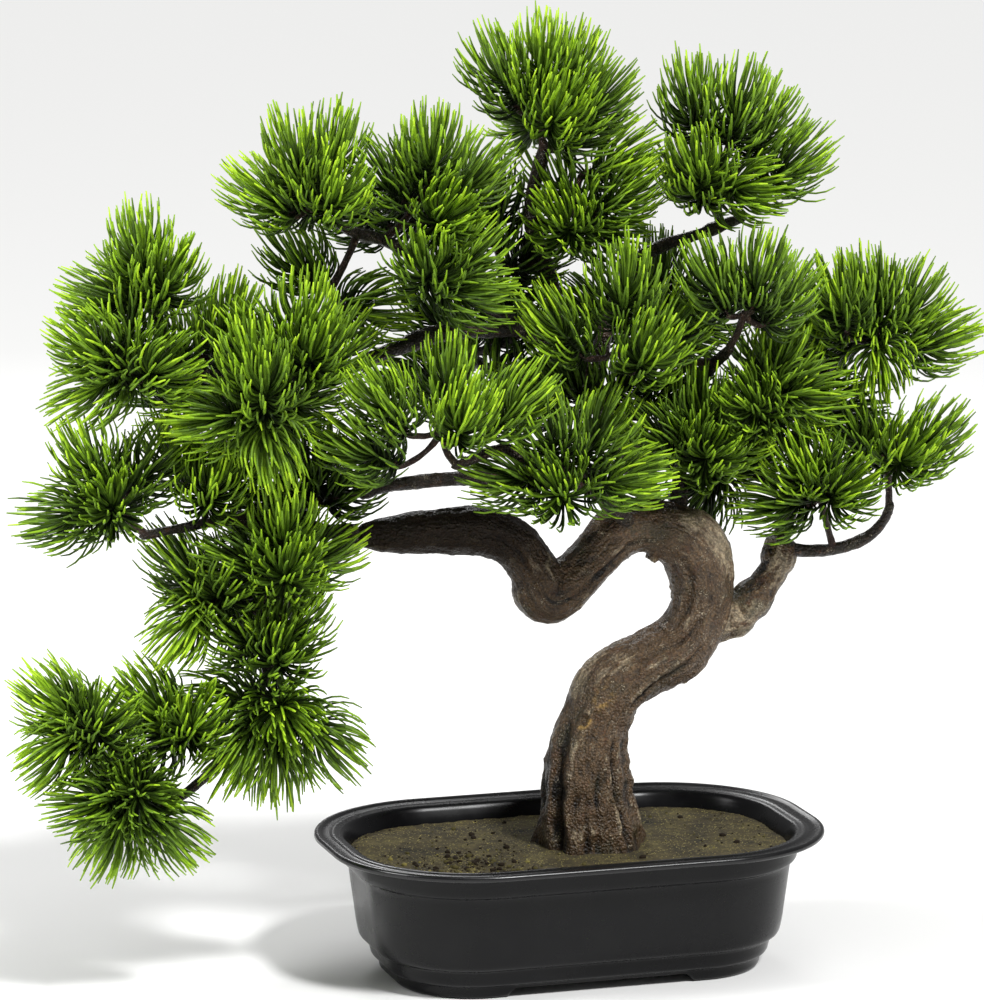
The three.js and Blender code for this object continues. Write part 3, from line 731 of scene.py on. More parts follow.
@dataclass
class Stem:
    """The moulded stem from the filler, over the crest and through the dip, to the end of the left bough."""

    # x, z and radius at each station
    stations: tuple = (
        (12.5, 64, 32.5), (11, 84, 28), (9.5, 104, 25.6), (11, 124, 22.6), (16, 141.5, 18.6),
        (25.5, 159, 19.2), (45, 171, 18.4), (65, 181, 18.4), (77.5, 202, 17.2), (76, 223, 17.4),
        (66, 240, 16.2), (46, 250, 14.8), (27, 247, 14.4), (13, 233, 14), (-1, 221, 14.8),
        (-13, 216, 17.6), (-22, 230, 13.6), (-34, 245.5, 13.4), (-50, 253, 13.6), (-72, 254, 13.2),
        (-94, 254, 11.2), (-112, 254, 8.8), (-127, 254, 5),
    )
    flare_lobes: int = 5
    flare_depth: float = 0.07
    flare_turn: float = 0.6
    flare_from: float = 69.0
    flare_height: float = 34.0
    foot: float = 68.2
    foot_shade_height: float = 7.0
    tip_length: float = 6.0
    full_relief_from: float = 14.0
    sides: int = 144
    step: float = 0.95
    seed: int = 31
    # the length along the stem where the left arm's darkening starts and is full: partly its own darker
    # paint, partly painted shade under the crown
    stain_and_shade_from: float = 290.0
    stain_and_shade_full: float = 345.0
    stain_and_shade: float = 0.88
    knots: tuple = (
        Knot(77, 2.44, 3.2, 1.3, 1.4, 0.8), Knot(171, 3.7, 5.0, 1.3, 1.2), Knot(113, 3.5, 5.0, 0.9, 1.1),
        Knot(99, 1.54, 13.0, 2.3, 0.0), Knot(303, 1.71, 10.0, 1.5, 0.0), Knot(223, 1.62, 3.4, 3.6, 0.3, 0.25),
        Knot(421, 2.3, 4.2, 2.4, 0.0), Knot(142, 4.4, 5.0, 1.4, 0.2), Knot(205, 4.4, 13.0, 6.0, 0.0),
        Knot(90, 2.72, 4.0, 0.3, 0.0, 0.75), Knot(330, 3.6, 6.0, 1.0, 0.6), Knot(150, 5.6, 7.0, 1.6),
        Knot(118, 0.5, 7.5, 1.7), Knot(250, 5.9, 7.0, 1.5),
    )
    furrows: tuple = (
        Furrow((2, 74), (2.2, 2.05), 3.4, 3.4), Furrow((4, 74), (3.62, 3.46), 3.2, 1.5),
        Furrow((0, 40), (2.75, 2.85), 1.6, 1.6), Furrow((12, 62), (3.05, 3.1), 1.1, 1.1),
        Furrow((0, 66), (4.6, 4.4), 2.8, 2.6), Furrow((0, 72), (5.7, 5.5), 3.0, 2.8),
        Furrow((4, 60), (0.5, 0.7), 3.2, 3.0), Furrow((0, 52), (1.35, 1.3), 2.4, 2.2),
        Furrow((88, 150), (3.75, 3.35), 2.0, 1.7), Furrow((104, 168), (2.5, 3.0), 1.3, 2.0),
        Furrow((150, 214), (2.3, 2.7), 1.3, 1.8), Furrow((120, 190), (0.4, 0.0), 2.2, 2.4),
        Furrow((232, 300), (2.6, 2.9), 1.6, 2.0), Furrow((310, 372), (2.7, 3.2), 1.4, 2.0),
        Furrow((214, 256), (4.4, 4.3), 2.6, 7.0), Furrow((225, 330), (6.1, 5.7), 1.8, 2.4),
    )

    def samples(self) -> tuple[Array, Array]:
        """Sample the stem's middle line.

        Returns:
            The points down it, and their radii.
        """
        stations = np.array(self.stations, float)
        middle = np.stack([stations[:, 0], np.zeros(len(stations)), stations[:, 1]], axis=1)
        path = smooth_path(middle, 4)
        places = np.linspace(0, len(stations) - 1, len(path))
        return path, np.interp(places, np.arange(len(stations)), stations[:, 2])

    def skin(self, skin: Skin) -> None:
        """Add the stem with its bark relief.

        Args:
            skin: Takes the stem.
        """
        path, radii = self.samples()
        path, radii, along = even_steps(path, radii, self.step)
        angle = ring_angles(self.sides)
        fade = np.clip(1 - (path[:, 2] - self.flare_from) / self.flare_height, 0, 1)[:, None]
        lobes = np.cos(self.flare_lobes * angle + self.flare_turn)
        radius = radii[:, None] * (1 + self.flare_depth * fade * lobes)
        around = straightened(radius, angle, along)
        bark = BarkGrid(around, around[..., 2], angle, radii[:, None])
        relief, straw, darkening = self.relief(bark)
        radius = radius + relief * np.minimum(1, radius / self.full_relief_from)
        radius = radius * rounded_tip(along, self.tip_length) + 0.2
        points = tube_points(path, turning_frames(path), radius, angle)
        points[..., 2] = np.maximum(points[..., 2], self.foot)
        # The left arm darkens towards its end: partly its own darker paint, partly painted shade under the
        # crown.
        stain_and_shade = (bark.along - self.stain_and_shade_from) / (self.stain_and_shade_full - self.stain_and_shade_from)
        # Painted shade darkens the foot where it meets the filler.
        foot = 1 - (points[..., 2] - self.foot) / self.foot_shade_height
        dark = np.maximum(np.clip(stain_and_shade, 0, 1) * self.stain_and_shade, np.clip(foot, 0, 1) * 0.5)
        height = np.clip(0.5 + relief / 4, 0, 1)
        paint = bark_paint(around * GRAIN_PULL, height, np.maximum(dark, darkening), straw)
        skin.add(points.reshape(-1, 3), tube_faces(len(path), self.sides), 0, **paint)

    def relief(self, bark: BarkGrid) -> tuple[Array, Array, Array]:
        """Work out how far the bark stands out, in millimetres, and where straw flecks and the furrows'
        painted shade gather.

        Args:
            bark: The bark's points.

        Returns:
            The relief, the share of straw colour and the share of the furrows' painted shade at each point.
        """
        grit, around = Grit(self.seed), bark.around
        low = np.clip((100 - bark.along) / 50, 0, 1)
        wander = np.stack([grit.at(around, 26), grit.at(around + 50, 26), 0 * bark.along], axis=-1) * 4
        pulled = around + wander
        # Long plates, shorter creases and grains, all deeper near the foot, over broad swellings.
        relief = (grit.ridges(pulled / [1, 1, 4.5], 8.5) - 0.7) * (0.5 + 0.8 * low)
        relief += grit.ridges(pulled / [1, 1, 2.6] + 40, 4.4) * (0.34 + 0.3 * low)
        relief += grit.at(pulled / [1, 1, 2.2] + 70, 2.2) * (0.3 + 0.2 * low)
        relief += grit.ridges(around + 23, 25) * 0.8 + grit.ridges(around + 90, 14) * 0.6 - 0.5
        relief += grit.at(around + 17, 1.7) * 0.3
        straw, darkening = np.zeros_like(bark.along), np.zeros_like(bark.along)
        stray = grit.at(around + 12, 9) * 1.6
        for furrow in self.furrows:
            height, dark = furrow.press(bark, stray)
            relief += height
            darkening = np.maximum(darkening, dark)
        for knot in self.knots:
            height, flecks = knot.press(bark, grit)
            relief += height
            straw = np.maximum(straw, flecks)
        return relief, straw, darkening


@dataclass
class Bough:
    """One thin bough that tapers along its route, from inside the limb that carries it."""

    route: tuple
    radii: tuple[float, float]
    sides: int = 22
    step: float = 1.4
    bark: float = 0.34
    swelling: float = 0.18
    tip_length: float = 3.0
    # how far the bough strays from its route, in bends how long, and how far from its root it is straighter
    sway: float = 1.2
    sway_mm: float = 34.0
    steady: float = 25.0

    def samples(self) -> tuple[Array, Array]:
        """Return points down the bough's middle and their radii."""
        path = smooth_path(np.array(self.route, float), 4)
        return path, np.linspace(*self.radii, len(path))

    def skin(self, skin: Skin, grit: Grit) -> None:
        """Add the bough, with bark, swollen joints and a rounded tip.

        Args:
            skin: Takes the bough.
            grit: The noise of its bark.
        """
        path, radii = self.samples()
        path, radii, along = even_steps(path, radii, self.step)
        frames = turning_frames(path)
        sway = np.stack([grit.at(path + 60 * k, self.sway_mm) for k in range(3)], axis=1) * self.sway
        path = path + sway * np.clip(along / self.steady, 0, 1)[:, None]
        swell = 1 + self.swelling * np.clip(grit.at(path + 11, 12) * 2.4 - 0.4, -0.5, 1)
        angle = ring_angles(self.sides)
        radius = (radii * swell)[:, None] * np.ones_like(angle)
        around = straightened(radius, angle, along) + path[:, None, :] * 0.2
        size = np.minimum(2.2, radii[:, None] / 4)
        relief = (grit.ridges(around / [1, 1, 4], 3.6) + grit.at(around, 1.8) * 0.8) * self.bark * size
        relief = relief + grit.at(around / [1, 1, 2], 9) * 0.5 * size
        radius = (radius + relief) * rounded_tip(along, self.tip_length) + 0.1
        points = tube_points(path, frames, radius, angle)
        height = np.clip(0.5 + relief / (4 * self.bark), 0, 1)
        paint = bark_paint(around * GRAIN_PULL, height)
        skin.add(points.reshape(-1, 3), tube_faces(len(path), self.sides), 0, **paint)


BOUGHS = {
    "right": Bough(
        ((76, 0, 188), (96, 0, 196), (107, 0, 204), (117, 0, 215), (124, 0, 229), (127, 0, 240)),
        (11.8, 7.8), 64, 1.0, 0.22, 0.14,
    ),
    "crown": Bough(((50, 4, 250), (50, 22, 274), (28, 25, 316), (4, 20, 348), (-28, 15, 367)), (8, 5.2)),
    "apex": Bough(((10, 22, 341), (-8, 16, 392), (-20, 11, 432), (-14, 5, 466)), (5.2, 3.2)),
    "upper_left": Bough(((-20, 16, 362), (-64, 12, 388), (-100, 6, 414), (-130, 2, 424)), (4.8, 2.8)),
    "left_high": Bough(
        ((-22, 16, 364), (-78, 14, 362), (-130, 8, 346), (-172, 6, 346), (-210, 4, 347), (-236, 2, 352)),
        (5, 2.6),
    ),
    "rod": Bough(((38, 10, 252), (18, 16, 276), (-39, 10, 282), (-98, 6, 281), (-122, 6, 277)), (5.6, 3.4)),
    "left_reach": Bough(
        ((-122, 0, 254), (-157, 2, 261), (-194, 2, 267), (-224, 2, 264), (-248, 0, 261)), (4.6, 2.4)
    ),
    "hanging": Bough(
        ((-121, 0, 253), (-140, 4, 240), (-160, 4, 222), (-172, 4, 198), (-176, 2, 176)), (4.8, 3)
    ),
    "low": Bough(
        ((-175, 2, 181), (-184, 8, 160), (-203, 2, 132), (-225, -2, 114), (-241, -6, 109)), (3.2, 2.2)
    ),
    "upper_right": Bough(
        ((22, 24, 322), (30, 22, 366), (48, 14, 402), (76, 4, 414), (103, -2, 424)), (4.8, 2.8)
    ),
    "right_front": Bough(
        ((64, 4, 244), (69, 14, 276), (71, 12, 312), (78, -10, 340), (83, -34, 356)), (5, 2.8)
    ),
    "right_far": Bough(
        ((124, 0, 232), (136, 10, 268), (144, 14, 306), (156, 10, 334), (170, 6, 344)), (5, 3)
    ),
    "right_low": Bough(
        ((124, 0, 233), (148, -8, 232), (170, -16, 239), (180, -20, 250), (184, -22, 262)), (4, 2.4)
    ),
    "front": Bough(
        ((36, -4, 251), (8, -30, 274), (-24, -42, 292), (-54, -46, 306), (-84, -46, 298)), (4.8, 2.6)
    ),
}


@dataclass
class Limbs:
    """The whole frame of the plant: the stem, the stout right bough and the thin boughs."""

    stem: Stem = field(default_factory=Stem)
    boughs: dict[str, Bough] = field(default_factory=lambda: dict(BOUGHS))
    stout: str = "right"

    def samples(self) -> tuple[Array, Array]:
        """Return points down the middle of every limb, and their radii."""
        runs = [self.stem.samples(), *(bough.samples() for bough in self.boughs.values())]
        return np.vstack([path for path, _ in runs]), np.concatenate([radii for _, radii in runs])

    def build(self) -> None:
        """Make the bark pieces."""
        bark = MouldedBark("cast_resin_bark_painted_shade", "#0f0a06", "#5b4731", "#9a8a70").build()
        # The thin boughs are a much darker brown: partly their own paint, partly painted shade under the
        # crown.
        dark = MouldedBark("cast_resin_bough_painted_shade", "#0f0b07", "#2a2018", "#534237").build()
        grit, moulded, thin = Grit(57), Skin(), Skin()
        self.stem.skin(moulded)
        self.boughs[self.stout].skin(moulded, grit)
        nodes = ["trunk", "left_bough_crest", "left_bough_dip", "left_bough_arm", f"{self.stout}_bough"]
        moulded.build("moulded_trunk", [bark], "bark", nodes)
        names = [name for name in self.boughs if name != self.stout]
        for name in names:
            self.boughs[name].skin(thin, grit)
        thin.build("thin_boughs", [dark], "twig", [f"{name}_bough" for name in names])


# The crown

TUFT_MIDDLE = 28.5  # from the foot of a tuft's stalk to the middle of its needles
STALK = 24.0
NEEDLE = 34.0
FRONT_RISE = 6.0  # how much higher than its step says a front tuft stands
SWAY = 0.25
TUFT_SPACE, FOOT_SPACE, TWIG_SPACE = 27, 10, 5  # radii of the round spaces that they claim


@dataclass(frozen=True)
class Tuft:
    """One tuft of needles: where its middle is, which way it points and the foot of its stalk."""

    middle: Array
    axis: Array
    side: Array
    other: Array
    foot: Array

    @staticmethod
    def stepped(hub: Array, step: Array, lift: float) -> "Tuft":
        """Stand a tuft one step away from a hub.

        Args:
            hub: The hub.
            step: The step from there to the middle of the tuft's needles.
            lift: How far the tuft turns up.

        Returns:
            The tuft.
        """
        axis = step / np.linalg.norm(step) + [0, 0, lift]
        axis = axis / np.linalg.norm(axis)
        level = np.array([0.0, 0.0, 1.0] if abs(axis[1]) > 0.7 else [0.0, 1.0, 0.0])
        side = np.cross(level, axis)
        side = side / np.linalg.norm(side)
        middle = hub + step
        return Tuft(middle, axis, side, np.cross(axis, side), middle - axis * TUFT_MIDDLE)


@dataclass(frozen=True)
class Mass:
    """One mass of needles: its host bough, its hub and how its tufts stand round the hub.

    The fan has its first and last angle and its number of tufts. The front tuft has its step along X and Z
    and, where it differs, a lift of its own. The root is its share of the bough's length, where it isn't
    nearest the hub. More tufts have their whole step and their lift written out.
    """

    host: str
    hub: tuple[float, float, float]
    reach: tuple[float, float, float]
    fan: tuple[float, float, int]
    front: tuple | None
    back: bool
    lift: float
    root: float | None = None
    shaded: bool = False
    more: tuple = ()

    def front_lift(self) -> float:
        """Return how far the front tuft turns up, or on a hanging mass down."""
        return 0.6 * self.lift + (0.5 if self.lift > 0 else -0.2)

    def tufts(self) -> list[Tuft]:
        """Lay out the tufts by the same rule as the solids.

        Returns:
            The fan's tufts, then the front, the back and more ones.
        """
        hub = np.array(self.hub, float)
        first, last, count = self.fan
        found = []
        for k in range(count):
            angle = math.radians(first + (last - first) * k / (count - 1))
            sway = (-SWAY if k % 2 else SWAY) * self.reach[1]
            step = np.array([self.reach[0] * math.cos(angle), sway, self.reach[2] * math.sin(angle)])
            found.append(Tuft.stepped(hub, step, self.lift))
        if self.front:
            step = np.array([self.front[0], -self.reach[1], self.front[1] + FRONT_RISE])
            lift = self.front[2] if len(self.front) > 2 else self.front_lift()
            found.append(Tuft.stepped(hub, step, lift))
        if self.back:
            level = self.front[1] if self.front else 0.0
            found.append(Tuft.stepped(hub, np.array([0.0, self.reach[1], level]), 0.6 * self.lift))
        found += [Tuft.stepped(hub, np.array([x, y, z], float), lift) for x, y, z, lift in self.more]
        return found


MASSES = {
    "apex": Mass("apex", (-17, 4, 484), (36, 20, 35), (130, -28, 5), (2, -6, 0.9), True, 0.55),
    "upper_right": Mass(
        "upper_right", (78, -5, 438), (54, 24, 56), (98, 18, 4), (-14, 12, 0.6), True, 0.35,
        more=((16, -25, 4, -0.1),),
    ),
    "mid_upper": Mass(
        "apex", (6, 5, 430), (32, 26, 24), (112, -45, 3), (-17, -8), False, 0.3,
        more=((26, 0, 30, -0.45),),
    ),
    "upper_centre": Mass("upper_left", (-88, -15, 447), (33, 24, 26), (160, 16, 3), (2, -20), False, 0.5),
    "centre_left": Mass("upper_left", (-90, -30, 402), (30, 20, 18), (35, -35, 2), (-8, 0), False, 0.3),
    "inner_top": Mass("apex", (-33, 25, 396), (18, 18, 38), (100, -80, 3), None, False, 0.3, None, True),
    "upper_left": Mass("upper_left", (-150, -8, 443), (28, 24, 32), (172, 62, 3), (6, 0), True, 0.5),
    "upper_left_low": Mass("upper_left", (-133, 15, 393), (26, 18, 22), (140, -40, 2), None, False, 0.5),
    "left_upper": Mass("left_high", (-164, -20, 362), (29, 24, 22), (160, 5, 3), (4, -4, 0.8), False, 0.6),
    "left_star": Mass("left_high", (-186, -32, 338), (33, 24, 27), (200, -85, 4), (-4, 8), False, 0.2),
    "far_left_top": Mass(
        "left_high", (-240, 5, 394), (25, 22, 28), (186, 102, 2), (6, 6, 0.6), True, 0.4, 0.9
    ),
    "far_left_mid": Mass("left_high", (-254, -4, 359), (28, 22, 27), (222, 84, 3), (12, -8), True, 0.2, 1.0),
    "left_top_right": Mass("left_high", (-209, 8, 357), (28, 22, 27), (150, 60, 2), None, False, 0.6),
    "left_mid": Mass("left_reach", (-262, 0, 285), (32, 24, 28), (206, 32, 3), (-6, -8, 0.5), True, 0.25),
    "left_mid_right": Mass("left_reach", (-211, 12, 283), (26, 24, 26), (122, 45, 2), (0, -2), False, 0.6),
    "hang_top": Mass("hanging", (-172, -18, 247), (28, 24, 22), (176, 4, 3), (-4, -10), False, 0.3),
    "hang_left": Mass("hanging", (-207, 2, 227), (25, 20, 26), (132, 228, 2), (4, 0), True, 0.1),
    "hang_mid": Mass("hanging", (-180, -16, 198), (26, 22, 25), (146, 54, 2), (2, -8), False, 0.3),
    "hang_low": Mass("low", (-174, -10, 158), (34, 22, 30), (165, 325, 4), (0, 2), True, -0.35),
    "low_left": Mass("low", (-278, 2, 156), (23, 22, 22), (140, 214, 2), (4, 0), True, 0.05, 0.78),
    "low_mid": Mass("low", (-225, 4, 151), (25, 22, 20), (132, 212, 2), (4, 0), True, 0.1),
    "low_tail": Mass("low", (-255, -8, 113), (28, 22, 24), (100, 318, 4), (0, 4), True, -0.1, 1.0),
    "front_left": Mass("front", (-90, -50, 320), (50, 22, 31), (195, 28, 4), (6, 2, 0.9), False, 0.6),
    "left_dark": Mass("rod", (-145, 12, 273), (30, 20, 22), (205, 35, 4), None, False, 0.2, None, True),
    "front_centre": Mass("front", (-18, -52, 294), (37, 24, 30), (182, -12, 4), (-14, -12), False, 0.3),
    "right_front": Mass(
        "right_front", (18, -32, 356), (41, 26, 40), (155, 22, 3), (6, -6, 1), False, 0.6, 0.8
    ),
    "right_mid": Mass("right_front", (87, -42, 375), (30, 22, 26), (128, 22, 3), None, False, 0.6, 1.0),
    "right_far": Mass(
        "right_far", (183, 2, 351), (39, 24, 27), (148, -5, 4), (-33, 24, 1.2), True, 0.35,
        more=((-6, -20, -8, -0.5),),
    ),
    "right_under": Mass("right_far", (110, -18, 325), (26, 24, 28), (62, -62, 3), (-20, -6), False, 0.1),
    "right_inner": Mass("right_front", (68, -20, 298), (28, 20, 24), (165, 10, 3), (0, -8), False, 0.3),
    "right_end": Mass("right_low", (181, -20, 286), (31, 24, 25), (135, 28, 2), (4, 0, 0.5), True, 0.45),
    "right_low": Mass("right_low", (141, -20, 270), (27, 24, 25), (200, 62, 3), (6, -2, 0.4), False, 0.3),
    "inner_right": Mass("right_far", (97, 22, 279), (26, 22, 26), (248, 20, 4), None, False, 0.2, None, True),
    "inner_centre": Mass("crown", (20, 10, 318), (48, 20, 22), (168, 5, 4), None, False, 0.3, None, True),
    "back_left": Mass("left_high", (-178, 48, 332), (42, 22, 34), (178, -48, 4), None, True, 0.2, None, True),
    "back_top": Mass("upper_left", (-76, 40, 425), (40, 20, 26), (170, 10, 3), None, True, 0.3, None, True),
    "back_centre": Mass("crown", (-40, 54, 345), (42, 22, 34), (205, -25, 4), None, True, 0.3, None, True),
    "back_right": Mass(
        "upper_right", (66, 50, 362), (42, 22, 28), (172, 8, 3), None, True, 0.4, None, True,
        more=((12, -20, -12, 0.2),),
    ),
    "back_far_right": Mass(
        "right_far", (148, 44, 314), (34, 22, 30), (205, -20, 4), None, True, 0.3, None, True
    ),
    "back_hang": Mass("hanging", (-170, 32, 222), (24, 20, 32), (95, 265, 3), None, True, 0.1, None, True),
}


@dataclass
class Spaces:
    """The space of each mass and tuft: the points nearest, by power distance, to its tufts and twigs."""

    points: list = field(default_factory=list)
    powers: list = field(default_factory=list)
    masses: list = field(default_factory=list)
    tufts: list = field(default_factory=list)

    def add(self, point: Array, radius: float, mass: int, tuft: int = -1) -> None:
        """Add one site that holds a round space.

        Args:
            point: Its middle.
            radius: Its radius.
            mass: Number of the mass that holds it.
            tuft: Number of the tuft that holds it, or -1 for the whole mass.
        """
        self.points.append(point)
        self.powers.append(radius * radius)
        self.masses.append(mass)
        self.tufts.append(tuft)

    def kept(self, points: Array, mass: int, tuft: int, overlap: float, mingle: float) -> Array:
        """Say which points keep to a tuft's space.

        Args:
            points: The points to try.
            mass: Number of the mass they belong to.
            tuft: Number of the tuft they belong to.
            overlap: How far they may reach into another mass, in millimetres.
            mingle: How far they may reach into another tuft of the same mass.

        Returns:
            True for each point that keeps to it.
        """
        sites, powers = np.array(self.points), np.array(self.powers)
        masses, tufts = np.array(self.masses), np.array(self.tufts)
        power = ((points[:, None, :] - sites[None]) ** 2).sum(-1) - powers[None]
        own = (masses == mass) & ((tufts == tuft) | (tufts == -1))
        nearest = sites[own][power[:, own].argmin(axis=1)]
        home = power[:, own].min(axis=1)
        fine = np.ones(len(points), bool)
        for rivals, slack in ((masses != mass, overlap), ((masses == mass) & ~own, mingle)):
            if rivals.any():
                rival = sites[rivals][power[:, rivals].argmin(axis=1)]
                apart = np.linalg.norm(nearest - rival, axis=1)
                fine &= power[:, rivals].min(axis=1) - home > -2 * slack * apart
        return fine


@dataclass(frozen=True)
class Habit:
    """How needles stand on a stalk: low ones start level and hook up, high ones are long and straight."""

    scatter_turn: float = 0.3
    # degrees from the stalk's own direction, at the top of the stalk and how much more at its foot
    lean: tuple[float, float] = (9.0, 98.0)
    scatter_lean: float = 9.0
    curl: tuple[float, float] = (26.0, 84.0)
    scatter_curl: tuple[float, float] = (0.75, 1.3)
    scatter_length: tuple[float, float] = (0.84, 1.08)
    shortest: float = 0.66
    full_length_from: float = 0.4
    stray: float = 0.22
    wave: float = 0.16
    uplift: float = 0.4
    seat: float = 1.2

    def draw(self, mass: Mass, tuft: Tuft, count: int, steps: int, rng: np.random.Generator) -> tuple:
        """Lay out one tuft's needles in a spiral up its stalk.

        Args:
            mass: The mass that the tuft belongs to.
            tuft: The tuft.
            count: How many needles.
            steps: How many stretches each has.
            rng: The crown's seeded numbers.

        Returns:
            Each needle's points, the direction its flat side faces at each, and how far up it stands.
        """
        share = (np.arange(count) + 0.5) / count
        low = (1 - share) ** 0.6
        turn = np.arange(count) * GOLDEN_ANGLE + rng.uniform(-self.scatter_turn, self.scatter_turn, count)
        scatter = rng.uniform(-self.scatter_lean, self.scatter_lean, count)
        lean = np.radians(self.lean[1] * low + self.lean[0] + scatter)
        curl = np.radians(self.curl[1] * low + self.curl[0]) * rng.uniform(*self.scatter_curl, count)
        out = tuft.side * np.cos(turn)[:, None] + tuft.other * np.sin(turn)[:, None]
        sideways = np.cross(tuft.axis, out)
        hub_height = float((np.array(mass.hub) - tuft.foot) @ tuft.axis)
        height = np.maximum(STALK * (0.06 + 0.9 * share**0.9), hub_height + 4 + 14 * share)
        grown = self.shortest + (1 - self.shortest) * np.minimum(1, share / self.full_length_from)
        length = NEEDLE * rng.uniform(*self.scatter_length, count) * grown
        stray, wave = rng.uniform(-self.stray, self.stray, count), rng.uniform(-self.wave, self.wave, count)
        path, normals = [tuft.foot + tuft.axis * height[:, None] + out * self.seat], []
        for step in range(steps):
            place = (step + 0.5) / steps
            slant = np.maximum(0.04, lean - curl * place**1.5)
            ahead = tuft.axis * np.cos(slant)[:, None] + out * np.sin(slant)[:, None]
            ahead = ahead + sideways * (stray + wave * math.sin(5 * place))[:, None]
            ahead = ahead + [0, 0, self.uplift * max(0.0, mass.lift) * place]
            ahead = ahead / np.linalg.norm(ahead, axis=1, keepdims=True)
            normals.append(out * np.cos(slant)[:, None] - tuft.axis * np.sin(slant)[:, None])
            path.append(path[-1] + ahead * (length / steps)[:, None])
        normals.append(normals[-1])
        return np.stack(path, axis=1), np.stack(normals, axis=1), share


@dataclass(frozen=True)
class Dye:
    """How the greens are dealt out: the number of a needle's green at its middle, and how it changes."""

    lowest: float = 2.3
    higher_up: float = 1.0
    scatter: float = 0.7
    tone_shift: float = 0.5
    shaded: float = 1.2
    root: tuple[float, float] = (2.5, 1.2)
    tip: float = 2.2

    def deal(self, mass: Mass, share: Array, steps: int, rng: np.random.Generator) -> Array:
        """Deal out a tuft's greens: each needle goes from a dark root to a fresh tip.

        Args:
            mass: The mass that the tuft belongs to.
            share: How far up the stalk each needle stands, from 0 to 1.
            steps: How many stretches each needle has.
            rng: The crown's seeded numbers.

        Returns:
            The number of the green of each stretch of each needle.
        """
        # Shaded masses, inside and behind the crown, get darker greens: painted shade.
        tone_shift = rng.uniform(-self.tone_shift, self.tone_shift) - (self.shaded if mass.shaded else 0.0)
        base = self.lowest + self.higher_up * share + tone_shift + rng.normal(0, self.scatter, len(share))
        place = (np.arange(steps) + 0.5) / steps
        # The roots are darker: partly the dye, partly painted shade inside the tuft, the most on the lowest
        # needles.
        root = (self.root[0] - self.root[1] * share)[:, None] * (1 - place)[None, :]
        tone = base[:, None] - root + (self.tip * place**1.5)[None, :]
        return np.clip(np.round(tone), 0, len(Green) - 1).astype(np.int32)


